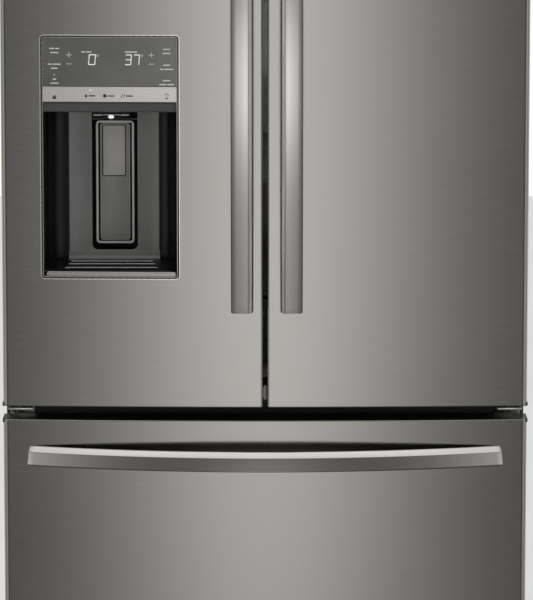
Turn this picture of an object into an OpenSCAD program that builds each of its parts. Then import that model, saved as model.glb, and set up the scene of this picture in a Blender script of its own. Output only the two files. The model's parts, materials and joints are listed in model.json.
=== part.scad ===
// French door refrigerator with a bottom freezer drawer and an ice and water dispenser in its left door.
// +Z is up, the doors face -Y, and the origin is on the floor at the centre of the whole box.

/* [Cabinet] */
// Width of the cabinet, behind the doors
cabinet_w = 904; // [880:1:906]
// Height of the cabinet's top above the floor
cabinet_h = 1748; // [1740:1:1752]
// Where the cabinet's front frame stands
cabinet_front = -278; // [-279:0.5:-276]
// Where the cabinet's rear panel ends
cabinet_rear = 418; // [400:1:420]
// Thickness of the painted sheet steel
sheet = 1.6; // [1.2:0.1:2]

/* [Doors and drawer] */
// Width across both doors
door_w = 908; // [906:1:912]
// Gap between the two doors
door_gap = 8; // [7:0.5:9]
// Bottom of the doors
door_bottom = 702; // [700:1:704]
// Top of the doors
door_top = 1757; // [1756:1:1757]
// Bottom of the freezer drawer's front
drawer_bottom = 75; // [72:1:80]
// Top of the freezer drawer's front
drawer_top = 679; // [676:1:681]
// Front of the doors at the middle of the refrigerator
crown_y = -369; // [-372:1:-366]
// How far the front curves back from the middle to the outer edges
front_sag = 17; // [14:0.5:18]
// Back of the doors, where their liners end
door_back = -290; // [-292:0.5:-289]
// Thickness of the doors' steel skin
skin = 1.5; // [1:0.1:2]
// Radius of the rolled outer edge
outer_roll = 9; // [6:0.5:10]
// Radius of the edges at the centre gap
inner_roll = 3; // [2.5:0.5:4]

/* [Handles] */
// Length of each handle
handle_len = 824; // [700:1:824]
// Width of the door handles
handle_w = 38; // [34:0.5:40]
// Thickness of the handle bars
handle_t = 15; // [12:0.5:18]
// Front of the drawer handle's bow
handle_front = -437; // [-440:1:-430]
// Inner edge of the left handle, from the centre
left_handle_in = 20.5; // [18:0.5:30]
// Inner edge of the right handle, from the centre
right_handle_in = 26.5; // [18:0.5:30]
// Lower end of the door handles
handle_low = 868; // [860:1:880]
// Middle of the drawer handle
drawer_handle_z = 616.75; // [612:0.25:625]
// Height of the drawer handle's bar
drawer_handle_h = 33.5; // [32:0.5:38]

/* [Dispenser] */
// Left side of the dispenser's housing
disp_x0 = -386; // [-387:0.5:-385]
// Right side of the dispenser's housing
disp_x1 = -148.5; // [-149.5:0.5:-148]
// Bottom of the dispenser's housing
disp_z0 = 927; // [926:0.5:928]
// Top of the dispenser's housing
disp_z1 = 1344; // [1343:0.5:1345]
// Back of the dispensing cavity
disp_back = -263; // [-266:0.5:-262]
// Middle of the paddle
paddle_x = -264; // [-266:0.5:-262]

/* [Inside] */
// Half the fresh food compartment's width
fresh_half = 404; // [400:1:404]
// Floor of the fresh food compartment
fresh_z0 = 742; // [740:1:744]
// Ceiling of the fresh food compartment
fresh_z1 = 1700; // [1690:1:1700]
// Rear wall of the fresh food compartment
fresh_rear = 350; // [345:1:360]
// Half the freezer's width
freezer_half = 394; // [392:1:394]
// Front edge of the shelves and crispers
shelf_front = -150; // [-152:1:-148]

/* [Hidden] */
$fn = 48;

half_w = cabinet_w / 2;
door_half = door_w / 2;
gap_half = door_gap / 2;
front_r = (door_half * door_half + front_sag * front_sag) / (2 * front_sag);
arc_y = crown_y + front_r;
arc_fn = 720;
fit = 0.2;
cap_t = 6;
cap_out = 1.5;
cap_back = 2;
cap_roll = 6.6;
liner_t = 3;
// clear space kept between pieces that move past each other
clear = 0.3;

// hinge pins of the doors
pin_x = door_half - 27;
pin_y = -325;
pin_r = 5;
pin_bore = pin_r + 0.05;

// gaskets
seal_w = 14;
seal_out = pin_x - 2;
seal_in = 8;

// machine compartment, low at the back
machine_y = 240;
machine_z = 330;
floor_z = 62;
freezer_z0 = 130;
freezer_z1 = 648;
freezer_deep = 290;
freezer_low_deep = 205;
freezer_step = 345;

// the flap that closes the gap between the doors
flap_x = -33;
flap_y = -271;
flap_t = 13;
flap_w = 62;
flap_z0 = 752;
flap_z1 = 1690;
flap_pin = 2.5;

// dispenser
cavity_z0 = 940;
cavity_z1 = 1213;
housing_wall = 3;
recess_half = 37.5;
recess_z0 = 963;
recess_z1 = 1204;
recess_deep = 22;
paddle_half = 27;
paddle_z0 = 977;
paddle_z1 = 1186;
paddle_pin_z = 1180;
chute_x = -265;
chute_z1 = 1480;
chute_pin = 2;
flap_axis_y = -277;

// compartments' fittings
deli_z = [750, 860];
crisper_z = [876, 1058];
cover_z = 1066;
shelf_z = [1235, 1400, 1560];
shelf_rear = 318;
ice_box = [[-402, shelf_front - 16, 1500], [-212, 300, fresh_z1 - 0.1]];
rail_z = 400;
fan_y = 226;
fan_z = 575;
condenser_x = 120;
condenser_y = 327;
condenser_z = 146;
shaft_r = 2.5;
roller_x = 380;
roller_y = 372;
roller_r = 22;
axle_r = 4;
leg_x = 400;
leg_y = -225;

// ---------- shared shapes ----------

// distance of the front arc's face from its own middle line, at x
function front_y(x, out = 0) = arc_y - sqrt(pow(front_r + out, 2) - x * x);

module slab(low, high) {
    translate(low) cube([high[0] - low[0], high[1] - low[1], high[2] - low[2]]);
}

module pin_z(x, y, z0, z1, r) {
    translate([x, y, z0]) cylinder(r = r, h = z1 - z0);
}

module bar_x(x0, x1, y, z, r) {
    translate([x0, y, z]) rotate([0, 90, 0]) cylinder(r = r, h = x1 - x0);
}

module bar_y(x, y0, y1, z, r) {
    translate([x, y0, z]) rotate([-90, 0, 0]) cylinder(r = r, h = y1 - y0);
}

// a rectangular ring that stands in the XZ plane, between y0 and y1
module ring_y(low, high, wall, y0, y1) {
    difference() {
        slab([low[0], y0, low[1]], [high[0], y1, high[1]]);
        slab([low[0] + wall, y0 - 1, low[1] + wall], [high[0] - wall, y1 + 1, high[1] - wall]);
    }
}

// an open-topped tub
module tub(low, high, wall) {
    difference() {
        slab(low, high);
        slab([low[0] + wall, low[1] + wall, low[2] + wall], [high[0] - wall, high[1] - wall, high[2] + 1]);
    }
}

// takes the square corner off a front panel's plan at x; side is -1 at a left edge and 1 at a right edge
module corner_cut(x, side, r, arc) {
    cx = x - side * r;
    cy = arc_y - sqrt(pow(arc - r, 2) - cx * cx);
    tx = cx * arc / (arc - r);
    ex = x + side;
    difference() {
        translate([min(ex, tx), crown_y - 5]) square([abs(ex - tx), cy - crown_y + 5]);
        translate([cx, cy]) circle(r = r);
    }
}

// a front panel's plan between x0 and x1, with its front on the common arc
module panel_plan(x0, x1, r0, r1, inset, rear) {
    arc = front_r - inset;
    difference() {
        intersection() {
            translate([x0 + inset, crown_y - 4]) square([x1 - x0 - 2 * inset, rear - crown_y + 4]);
            translate([0, arc_y]) circle(r = arc, $fn = arc_fn);
        }
        corner_cut(x0 + inset, -1, r0 - inset, arc);
        corner_cut(x1 - inset, 1, r1 - inset, arc);
    }
}

// the corner that a door loses at the back of its hinge side, so that it can swing
module rear_cut(x, side) {
    cut = 8;
    translate([x, door_back]) rotate(45) square(cut * sqrt(2), center = true);
}

module cap_plan(x0, x1, out0, out1) {
    difference() {
        intersection() {
            translate([x0 - out0, crown_y]) square([x1 - x0 + out0 + out1, door_back - crown_y]);
            translate([0, arc_y]) circle(r = front_r - cap_back, $fn = arc_fn);
        }
        corner_cut(x0 - out0, -1, cap_roll, front_r - cap_back);
        corner_cut(x1 + out1, 1, cap_roll, front_r - cap_back);
    }
}

module caps(x0, x1, z0, z1, out0, out1) {
    for (z = [z0, z1 - cap_t])
        translate([0, 0, z]) linear_extrude(cap_t) cap_plan(x0, x1, out0, out1);
}

module panel_skin(x0, x1, z0, z1, r0, r1, out0, out1) {
    difference() {
        translate([0, 0, z0]) linear_extrude(z1 - z0) difference() {
            panel_plan(x0, x1, r0, r1, 0, door_back);
            panel_plan(x0, x1, r0, r1, skin, door_back + 1);
        }
        for (z = [z0 - 1, z1 - cap_t])
            translate([0, 0, z]) linear_extrude(cap_t + 1) cap_plan(x0, x1, out0 + 1, out1 + 1);
    }
}

module panel_foam(x0, x1, z0, z1, r0, r1) {
    translate([0, 0, z0 + cap_t]) linear_extrude(z1 - z0 - 2 * cap_t)
        panel_plan(x0, x1, r0, r1, skin, door_back - liner_t);
}

module panel_liner(x0, x1, z0, z1) {
    slab([x0 + skin, door_back - liner_t, z0 + cap_t], [x1 - skin, door_back, z1 - cap_t]);
}

// a bowed bar along Z: its outer face is an arc through (ends) at both ends and (crown) in the middle
module bow(length, crown, ends) {
    half = length / 2;
    sag = ends - crown;
    r = (half * half + sag * sag) / (2 * sag);
    intersection() {
        difference() {
            translate([crown + r, 0]) circle(r = r, $fn = 360);
            translate([crown + r, 0]) circle(r = r - handle_t, $fn = 360);
        }
        translate([crown - 1, -half]) square([sag + 2 * handle_t, length]);
    }
}

module bin(x0, x1, y1, z0, z1) {
    wall = 2.5;
    tub([x0, door_back + 1, z0], [x1, y1, z1], wall);
}

// ---------- cabinet ----------

module cabinet_shell() {
    color("dimgray") {
        // wrap: both sides and the top
        difference() {
            slab([-half_w, cabinet_front, floor_z], [half_w, cabinet_rear, cabinet_h]);
            slab([-half_w + sheet, cabinet_front - 1, floor_z - 1],
                 [half_w - sheet, cabinet_rear + 1, cabinet_h - sheet]);
        }
        // front frame with the two compartments' windows
        difference() {
            slab([-half_w + 0.5, cabinet_front, floor_z],
                 [half_w - 0.5, cabinet_front + sheet, cabinet_h - 0.5]);
            slab([-fresh_half, cabinet_front - 1, fresh_z0], [fresh_half, cabinet_front + 3, fresh_z1]);
            slab([-freezer_half, cabinet_front - 1, freezer_z0],
                 [freezer_half, cabinet_front + 3, freezer_z1]);
        }
    }
}

module rear_panel() {
    color("lightgray") difference() {
        slab([-half_w + sheet, cabinet_rear - 2.8, machine_z + 0.5],
             [half_w - sheet, cabinet_rear - 0.8, cabinet_h - sheet]);
        for (x = [-300 : 150 : 300])
            slab([x - 20, cabinet_rear - 1.6, 450], [x + 20, cabinet_rear, 1650]);
    }
}

module freezer_profile(out) {
    // side view of the freezer, shallower beside the machine compartment
    polygon([
        [cabinet_front + sheet, freezer_z0 - out], [freezer_low_deep + out, freezer_z0 - out],
        [freezer_low_deep + out, freezer_step - out], [freezer_deep + out, freezer_step - out],
        [freezer_deep + out, freezer_z1 + out], [cabinet_front + sheet, freezer_z1 + out]]);
}

module along_x(x0, x1) {
    translate([x0, 0, 0]) rotate([90, 0, 90]) linear_extrude(x1 - x0) children();
}

module cabinet_foam() {
    color("khaki") difference() {
        slab([-half_w + sheet, cabinet_front + sheet, floor_z + 4],
             [half_w - sheet, cabinet_rear - 2.8, cabinet_h - sheet]);
        slab([-fresh_half - liner_t, cabinet_front, fresh_z0 - liner_t],
             [fresh_half + liner_t, fresh_rear + liner_t, fresh_z1 + liner_t]);
        along_x(-freezer_half - liner_t, freezer_half + liner_t) freezer_profile(liner_t);
        slab([-half_w, machine_y, 0], [half_w, cabinet_rear, machine_z]);
    }
}

module fresh_food_liner() {
    color("white") difference() {
        slab([-fresh_half - liner_t, cabinet_front + sheet, fresh_z0 - liner_t],
             [fresh_half + liner_t, fresh_rear + liner_t, fresh_z1 + liner_t]);
        slab([-fresh_half, cabinet_front, fresh_z0], [fresh_half, fresh_rear, fresh_z1]);
    }
}

module freezer_liner() {
    color("white") difference() {
        along_x(-freezer_half - liner_t, freezer_half + liner_t) freezer_profile(liner_t);
        along_x(-freezer_half, freezer_half) translate([-1, 0]) freezer_profile(0);
        slab([-freezer_half, cabinet_front, freezer_z0], [freezer_half, 0, freezer_z1]);
    }
}

module base_frame() {
    rail_w = 30;
    color("darkgray") difference() {
        union() {
            slab([-half_w + sheet, cabinet_front + 10, floor_z - 2],
                 [half_w - sheet, cabinet_rear - 4, floor_z + 2]);
            for (s = [-1, 1]) {
                slab([s * leg_x - rail_w / 2, cabinet_front + 15, floor_z - 22],
                     [s * leg_x + rail_w / 2, leg_y + 60, floor_z - 2]);
                for (x = [roller_x - 14, roller_x + 14])
                    slab([s * x - 2, roller_y - 30, roller_r - 8], [s * x + 2, roller_y + 30, floor_z - 2]);
            }
        }
        for (s = [-1, 1]) {
            pin_z(s * leg_x, leg_y, 0, floor_z + 5, 5.5);
            bar_x(s * roller_x - 40, s * roller_x + 40, roller_y, roller_r, axle_r + 0.05);
        }
        // air intake under the machine compartment
        for (x = [-120 : 40 : 120])
            slab([x - 12, machine_y + 30, floor_z - 5], [x + 12, machine_y + 130, floor_z + 5]);
    }
}

module toe_grille() {
    slots = 5;
    color("black") difference() {
        slab([-half_w + 4, cabinet_front - 24, 12], [half_w - 4, cabinet_front + 8, floor_z - 0.5]);
        slab([-half_w + 8, cabinet_front - 21, 0], [half_w - 8, cabinet_front + 9, floor_z - 3.5]);
        for (i = [0 : slots - 1])
            slab([-half_w + 60, cabinet_front - 30, 20 + i * 8],
                 [half_w - 60, cabinet_front - 15, 24 + i * 8]);
    }
}

module leveling_legs() {
    color("gray") for (s = [-1, 1]) {
        pin_z(s * leg_x, leg_y, 0, 9, 19);
        pin_z(s * leg_x, leg_y, 8.9, floor_z - 23, 11);
        pin_z(s * leg_x, leg_y, floor_z - 24, floor_z + 2, 5);
    }
}

module machine_cover() {
    vents = 9;
    color("dimgray") difference() {
        slab([-half_w + sheet, cabinet_rear - 2.8, floor_z + 4],
             [half_w - sheet, cabinet_rear - 0.8, machine_z]);
        for (side = [-1, 1], i = [0 : vents - 1])
            slab([side * 230 - 110, cabinet_rear - 5, 110 + i * 20],
                 [side * 230 + 110, cabinet_rear + 1, 118 + i * 20]);
        bar_y(-60, cabinet_rear - 5, cabinet_rear + 1, 120, 12);
        slab([-18, cabinet_rear - 5, 98], [18, cabinet_rear + 1, 126]);
    }
}

module rear_fittings() {
    inlet_z = 120;
    color("white") {
        // water valve with its threaded inlet
        slab([-85, cabinet_rear - 55, inlet_z - 20], [-35, cabinet_rear - 15, inlet_z + 20]);
        bar_y(-60, cabinet_rear - 16, cabinet_rear - 2, inlet_z, 9);
        bar_y(-60, cabinet_rear - 2.5, -handle_front, inlet_z, 5.5);
        // power inlet
        slab([-16, cabinet_rear - 30, 100], [16, cabinet_rear + 4, 124]);
        slab([-25, cabinet_rear - 0.7, 92], [25, cabinet_rear + 3, 132]);
    }
}

module compressor() {
    cx = -260;
    cy = 335;
    color("black") {
        slab([cx - 90, cy - 65, floor_z + 2.2], [cx + 90, cy + 65, floor_z + 6]);
        for (x = [-70, 70], y = [-45, 45])
            pin_z(cx + x, cy + y, floor_z + 5.9, floor_z + 22, 11);
        slab([cx - 85, cy - 60, floor_z + 22], [cx + 85, cy + 60, floor_z + 25]);
        pin_z(cx, cy, floor_z + 24.9, floor_z + 120, 62);
        translate([cx, cy, floor_z + 120]) intersection() {
            sphere(r = 62);
            slab([-70, -70, -1], [70, 70, 70]);
        }
    }
    color("peru") {
        bar_x(cx + 55, cx + 150, cy - 20, floor_z + 90, 4);
        pin_z(cx + 147, cy - 20, floor_z + 90, floor_z + 240, 4);
        bar_x(cx + 50, cx + 125, cy + 25, floor_z + 60, 3);
    }
}

// tubes through a pack of fins, the way a heat exchanger is made
module fin_pack(low, high, tubes, rows, fins) {
    pitch_z = (high[2] - low[2]) / tubes;
    pitch_y = (high[1] - low[1]) / rows;
    pitch_x = (high[0] - low[0]) / (fins - 1);
    for (i = [0 : fins - 1])
        slab([low[0] + i * pitch_x - 0.6, low[1], low[2]], [low[0] + i * pitch_x + 0.6, high[1], high[2]]);
    for (j = [0 : tubes - 1], k = [0 : rows - 1])
        bar_x(low[0] - 12, high[0] + 12, low[1] + (k + 0.5) * pitch_y, low[2] + (j + 0.5) * pitch_z, 4);
    for (x = [low[0] - 14, high[0] + 10])
        slab([x, low[1], low[2]], [x + 4, high[1], high[2]]);
}

module condenser() {
    color("silver") {
        fin_pack([190, 275, floor_z + 12], [400, 380, floor_z + 150], 5, 4, 22);
    }
    // shroud and motor of the fan
    color("black") {
        difference() {
            slab([condenser_x, 262, floor_z + 4], [condenser_x + 40, 392, floor_z + 164]);
            bar_x(condenser_x - 1, condenser_x + 41, condenser_y, condenser_z, 60);
        }
        for (a = [0, 90])
            translate([condenser_x + 33, condenser_y, condenser_z]) rotate([a, 0, 0])
                slab([0, -62, -4], [5, 62, 4]);
        bar_x(condenser_x + 22, condenser_x + 38, condenser_y, condenser_z, 18);
        bar_x(condenser_x + 13, condenser_x + 23, condenser_y, condenser_z, shaft_r);
    }
}

module fan_blades(r, hub, depth, blades) {
    // turns about Z
    difference() {
        union() {
            cylinder(r = hub, h = depth);
            for (i = [0 : blades - 1])
                rotate([0, 0, i * 360 / blades])
                    translate([(r + hub) / 2 - 2, 0, depth / 2])
                        rotate([28, 0, 0]) cube([r - hub, 34, 2], center = true);
        }
        translate([0, 0, depth / 2]) cylinder(r = shaft_r + 0.05, h = depth);
    }
}

module condenser_fan() {
    color("white") translate([condenser_x + 3, condenser_y, condenser_z]) rotate([0, 90, 0])
        fan_blades(54, 17, 17, 5);
}

module evaporator() {
    color("silver") fin_pack([-280, 228, freezer_step + 14], [280, 282, freezer_step + 150], 6, 2, 40);
}

module evaporator_cover() {
    color("whitesmoke") difference() {
        slab([-freezer_half + 1, freezer_low_deep + 2, freezer_step + 1],
             [freezer_half - 1, freezer_low_deep + 6, freezer_z1 - 1]);
        bar_y(0, freezer_low_deep, freezer_low_deep + 8, fan_z, 56);
        for (x = [-330 : 60 : 330])
            slab([x - 22, freezer_low_deep, freezer_step + 12],
                 [x + 22, freezer_low_deep + 8, freezer_step + 20]);
    }
    // motor and its bridge
    color("dimgray") {
        bar_y(0, fan_y + 21, fan_y + 46, fan_z, 20);
        bar_y(0, fan_y + 11, fan_y + 22, fan_z, shaft_r);
        slab([-75, fan_y + 30, fan_z - 6], [75, fan_y + 36, fan_z + 6]);
        for (s = [-1, 1])
            slab([s * 72 - 4, freezer_low_deep + 5.9, fan_z - 6], [s * 72 + 4, fan_y + 36, fan_z + 6]);
    }
}

module evaporator_fan() {
    color("black") translate([0, fan_y, fan_z]) rotate([-90, 0, 0]) fan_blades(50, 15, 20, 5);
}

module air_duct() {
    color("whitesmoke") difference() {
        slab([-120, fresh_rear - 22, 1110], [120, fresh_rear - 1, fresh_z1 - 12]);
        slab([-114, fresh_rear - 17, 1100], [114, fresh_rear, fresh_z1 - 18]);
        for (z = [1180 : 110 : 1620], s = [-1, 1])
            slab([s * 70 - 30, fresh_rear - 25, z], [s * 70 + 30, fresh_rear - 10, z + 8]);
    }
}

// each shelf is [x0, x1, z]
shelves = [[-400, -4, shelf_z[0]], [-400, -4, shelf_z[1]], [4, 400, shelf_z[0]], [4, 400, shelf_z[1]],
    [4, 400, shelf_z[2]]];
ladder_x = [-380, -135, 135, 380];
frame_edge = 9;
glass_t = 4;

module shelf_frames() {
    color("white") {
        for (s = shelves)
            difference() {
                slab([s[0], shelf_front, s[2] - 14], [s[1], shelf_rear, s[2]]);
                slab([s[0] + frame_edge, shelf_front + frame_edge, s[2] - 15],
                     [s[1] - frame_edge, shelf_rear - frame_edge, s[2] + 1]);
                slab([s[0] + 3, shelf_front + 3, s[2] - glass_t],
                     [s[1] - 3, shelf_rear - 3, s[2] + 1]);
            }
        // hooks from the shelves to the ladders
        for (s = shelves, x = ladder_x)
            if (x > s[0] && x < s[1])
                slab([x - 3, shelf_rear - 1, s[2] - 13], [x + 3, shelf_rear + 3.5, s[2] - 1]);
        // cover over the crispers
        difference() {
            slab([-402, shelf_front, cover_z], [402, shelf_rear, cover_z + 14]);
            slab([-402 + frame_edge, shelf_front + frame_edge, cover_z - 1],
                 [402 - frame_edge, shelf_rear - frame_edge, cover_z + 15]);
            slab([-399, shelf_front + 3, cover_z + 14 - glass_t], [399, shelf_rear - 3, cover_z + 15]);
        }
        // guides for the crispers and the deli drawer
        slab([-fresh_half + 0.5, shelf_front + 12, crisper_z[0] - 10],
             [fresh_half - 0.5, shelf_rear - 30, crisper_z[0] - 0.5]);
        for (s = [-1, 1])
            slab([s * 380 - 12, shelf_front + 12, fresh_z0 + 0.1],
                 [s * 380 + 12, shelf_rear - 30, deli_z[0] - 0.5]);
    }
    // ladders on the rear wall
    color("silver") for (x = ladder_x)
        difference() {
            slab([x - 7, shelf_rear + 3, 1120], [x + 7, fresh_rear - 1, 1660]);
            for (z = [1140 : 40 : 1640])
                slab([x - 2, shelf_rear, z], [x + 2, shelf_rear + 12, z + 18]);
        }
}

module shelf_glass() {
    color("lightcyan") {
        for (s = shelves)
            slab([s[0] + 3.2, shelf_front + 3.2, s[2] - glass_t], [s[1] - 3.2, shelf_rear - 3.2, s[2] - 0.2]);
        slab([-398.8, shelf_front + 3.2, cover_z + 14 - glass_t], [398.8, shelf_rear - 3.2, cover_z + 13.8]);
    }
}

module ice_maker_box() {
    low = ice_box[0];
    high = ice_box[1];
    wall = 4;
    color("whitesmoke") {
        difference() {
            slab(low, high);
            slab([low[0] + wall, low[1] - 1, low[2] + wall],
                 [high[0] - wall, high[1] - wall, high[2] - wall]);
            slab([chute_x - 32, low[1] - 1, low[2] - 1], [chute_x + 32, low[1] + 70, low[2] + wall + 1]);
        }
        // throat that meets the door's chute
        difference() {
            slab([chute_x - 35, door_back + 45, 1415], [chute_x + 35, low[1] + 73, low[2]]);
            slab([chute_x - 32, door_back + 44, 1418], [chute_x + 32, low[1] + 70, low[2] - 4]);
            slab([chute_x - 32, low[1] + 4, low[2] - 5], [chute_x + 32, low[1] + 70, low[2] + 1]);
        }
    }
    // mould and its motor
    color("gray") {
        difference() {
            slab([low[0] + 8, 10, high[2] - 58], [high[0] - 40, 233, high[2] - 28]);
            for (y = [18 : 27 : 210])
                slab([low[0] + 12, y, high[2] - 54], [high[0] - 44, y + 22, high[2] - 20]);
        }
        slab([low[0] + 8, 232, high[2] - 74], [high[0] - 40, high[1] - 3.9, high[2] - 8]);
        // feeler arm beside the mould
        slab([high[0] - 41, 12, high[2] - 62], [high[0] - 36, 233, high[2] - 57]);
    }
}

module ice_bin() {
    low = ice_box[0];
    high = ice_box[1];
    x0 = low[0] + 6;
    x1 = high[0] - 6;
    mid = (x0 + x1) / 2;
    color("aliceblue") difference() {
        union() {
            slab([x0, low[1] + 4, low[2] + 6], [x1, 190, low[2] + 96]);
            slab([low[0] + 0.5, low[1] - 5, low[2] + 0.5], [high[0] - 0.5, low[1] - 1, high[2] - 2]);
            slab([x0, low[1] - 1.1, low[2] + 6], [x1, low[1] + 5, low[2] + 96]);
        }
        slab([x0 + 3, low[1] + 7, low[2] + 9], [x1 - 3, 187, low[2] + 97]);
        // outlet over the throat
        slab([chute_x - 28, low[1] + 10, low[2]], [chute_x + 28, low[1] + 62, low[2] + 20]);
        bar_y(mid, 180, 195, low[2] + 42, 6.05);
    }
}

module ice_auger() {
    low = ice_box[0];
    high = ice_box[1];
    mid = (low[0] + high[0]) / 2;
    color("silver") translate([mid, 0, low[2] + 42]) {
        bar_y(0, low[1] + 12, 196, 0, 6);
        for (i = [0 : 11])
            translate([0, low[1] + 30 + i * 27, 0]) rotate([0, i * 60, 0]) rotate([0, 0, 22])
                slab([-28, -1.2, -5], [28, 1.2, 5]);
    }
}

module hinge_brackets() {
    color("silver") for (s = [0, 1])
        mirror([s, 0, 0]) {
            // top hinge: plate over the door, riser on the cabinet and pin
            slab([pin_x - 18, pin_y - 14, door_top + 3], [pin_x + 18, -200, door_top + 7]);
            slab([pin_x - 18, -268, cabinet_h], [pin_x + 18, -200, door_top + 3.1]);
            pin_z(pin_x, pin_y, door_top - 18, door_top + 3.1, pin_r);
            // centre hinge: plate under the door, leaf on the cabinet, washer and pin
            slab([pin_x - 24, pin_y - 18, door_bottom - 8], [pin_x + 18, cabinet_front, door_bottom - 4]);
            slab([pin_x - 24, cabinet_front - 4, drawer_top - 10],
                 [pin_x + 18, cabinet_front, door_bottom - 4]);
            pin_z(pin_x, pin_y, door_bottom - 4.1, door_bottom + 18, pin_r);
            pin_z(pin_x, pin_y, door_bottom - 4.1, door_bottom - 0.6, pin_r + 4);
        }
}

module hinge_covers() {
    wall = 2;
    top = door_top + 23;
    color("black") for (s = [-1, 1])
        difference() {
            union() {
                slab([s * (pin_x - 5) - 29, pin_y - 22, door_top + 1.5], [s * (pin_x - 5) + 29, -180, top]);
                slab([s * (pin_x - 5) - 29, -272, cabinet_h], [s * (pin_x - 5) + 29, -180, top]);
            }
            slab([s * (pin_x - 5) - 29 + wall, pin_y - 22 + wall, cabinet_h - 1],
                 [s * (pin_x - 5) + 29 - wall, -180 - wall, top - wall]);
        }
}

module freezer_rails() {
    color("silver") for (s = [-1, 1]) {
        slab([s * (freezer_half - 4) - 3.9, cabinet_front + 23, rail_z],
             [s * (freezer_half - 4) + 3.9, 190, rail_z + 40]);
        // ledge that carries the upper basket
        slab([s * (freezer_half - 16) - 15.9, -225, rail_z + 55],
             [s * (freezer_half - 16) + 15.9, 200, rail_z + 60]);
    }
}

// ---------- doors ----------

module left_door_skin() {
    color("slategray") difference() {
        panel_skin(-door_half, -gap_half, door_bottom, door_top, outer_roll, inner_roll, cap_out, 0);
        slab([disp_x0 - fit, crown_y - 5, disp_z0 - fit], [disp_x1 + fit, crown_y + 40, disp_z1 + fit]);
        translate([0, 0, door_bottom - 1]) linear_extrude(door_top - door_bottom + 2) rear_cut(-door_half);
    }
}

module right_door_skin() {
    color("slategray") difference() {
        panel_skin(gap_half, door_half, door_bottom, door_top, inner_roll, outer_roll, 0, cap_out);
        translate([0, 0, door_bottom - 1]) linear_extrude(door_top - door_bottom + 2) rear_cut(door_half);
    }
}

module door_pin_holes(s, r, deep) {
    pin_z(s * pin_x, pin_y, door_bottom - 1, door_bottom + deep, r);
    pin_z(s * pin_x, pin_y, door_top - deep, door_top + 1, r);
}

module left_door_foam() {
    color("khaki") difference() {
        panel_foam(-door_half, -gap_half, door_bottom, door_top, outer_roll, inner_roll);
        slab([disp_x0 - fit, crown_y - 5, disp_z0 - fit], [disp_x1 + fit, door_back, disp_z1 + fit]);
        slab([chute_x - 35, -328, disp_z1 - 1], [chute_x + 35, door_back, chute_z1 + 3]);
        door_pin_holes(-1, 8, 30);
        translate([0, 0, door_bottom]) linear_extrude(door_top - door_bottom) rear_cut(-door_half);
    }
}

module right_door_foam() {
    color("khaki") difference() {
        panel_foam(gap_half, door_half, door_bottom, door_top, inner_roll, outer_roll);
        door_pin_holes(1, 8, 30);
        translate([0, 0, door_bottom]) linear_extrude(door_top - door_bottom) rear_cut(door_half);
    }
}

module door_caps(s) {
    x0 = s < 0 ? -door_half : gap_half;
    x1 = s < 0 ? -gap_half : door_half;
    color("black") difference() {
        caps(x0, x1, door_bottom, door_top, s < 0 ? cap_out : 0, s < 0 ? 0 : cap_out);
        door_pin_holes(s, pin_bore, 20);
        translate([0, 0, door_bottom - 1]) linear_extrude(door_top - door_bottom + 2)
            rear_cut(s * (door_half + cap_out));
    }
}

module left_door_caps() {
    door_caps(-1);
}

module right_door_caps() {
    door_caps(1);
}

dike_w = 14;
dike_y = door_back + 28;
dike_out = fresh_half - 8;
dike_in = 50;

// raised rim of a door's liner, just inside the compartment
module dike(s) {
    x0 = s < 0 ? -dike_out : dike_in;
    x1 = s < 0 ? -dike_in : dike_out;
    ring_y([x0, fresh_z0 + 8], [x1, fresh_z1 - 8], dike_w, door_back - 0.1, dike_y);
}

module left_door_liner() {
    bulge_low = [disp_x0 - 16, disp_z0 - 20];
    bulge_high = [disp_x1 + 16, disp_z1 + 20];
    bulge_y = -228;
    color("white") difference() {
        union() {
            panel_liner(-door_half, -gap_half, door_bottom, door_top);
            dike(-1);
            slab([bulge_low[0], door_back - 0.1, bulge_low[1]], [bulge_high[0], bulge_y, bulge_high[1]]);
            slab([chute_x - 50, door_back - 0.1, bulge_high[1] - 1],
                 [chute_x + 50, door_back + 42, chute_z1 + 20]);
            // ears that hold the flap
            for (z = [flap_z0 - 8, flap_z1 + 2])
                slab([flap_x - 7, door_back - 0.1, z], [flap_x + 7, flap_y + 7, z + 6]);
        }
        slab([disp_x0 - fit, crown_y, disp_z0 - fit], [disp_x1 + fit, bulge_y - 3, disp_z1 + fit]);
        slab([chute_x - 35, crown_y, bulge_high[1] - 30], [chute_x + 35, door_back + 30, chute_z1 + 3]);
        slab([chute_x - 32, door_back, 1418], [chute_x + 32, door_back + 50, chute_z1]);
        pin_z(flap_x, flap_y, flap_z0 - 10, flap_z1 + 10, flap_pin + 0.05);
        translate([0, 0, door_bottom]) linear_extrude(door_top - door_bottom) rear_cut(-door_half);
    }
}

module right_door_liner() {
    color("white") difference() {
        union() {
            panel_liner(gap_half, door_half, door_bottom, door_top);
            dike(1);
        }
        translate([0, 0, door_bottom]) linear_extrude(door_top - door_bottom) rear_cut(door_half);
    }
}

module door_gasket(s) {
    x0 = s < 0 ? -seal_out : seal_in;
    x1 = s < 0 ? -seal_in : seal_out;
    color("gray")
        ring_y([x0, door_bottom + 10], [x1, door_top - 14], seal_w, door_back, cabinet_front - clear);
}

module left_door_gasket() {
    difference() {
        door_gasket(-1);
        for (z = [flap_z0 - 8, flap_z1 + 2])
            slab([flap_x - 8, door_back - 1, z - 1], [flap_x + 8, cabinet_front, z + 7]);
    }
}

module right_door_gasket() {
    door_gasket(1);
}

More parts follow.
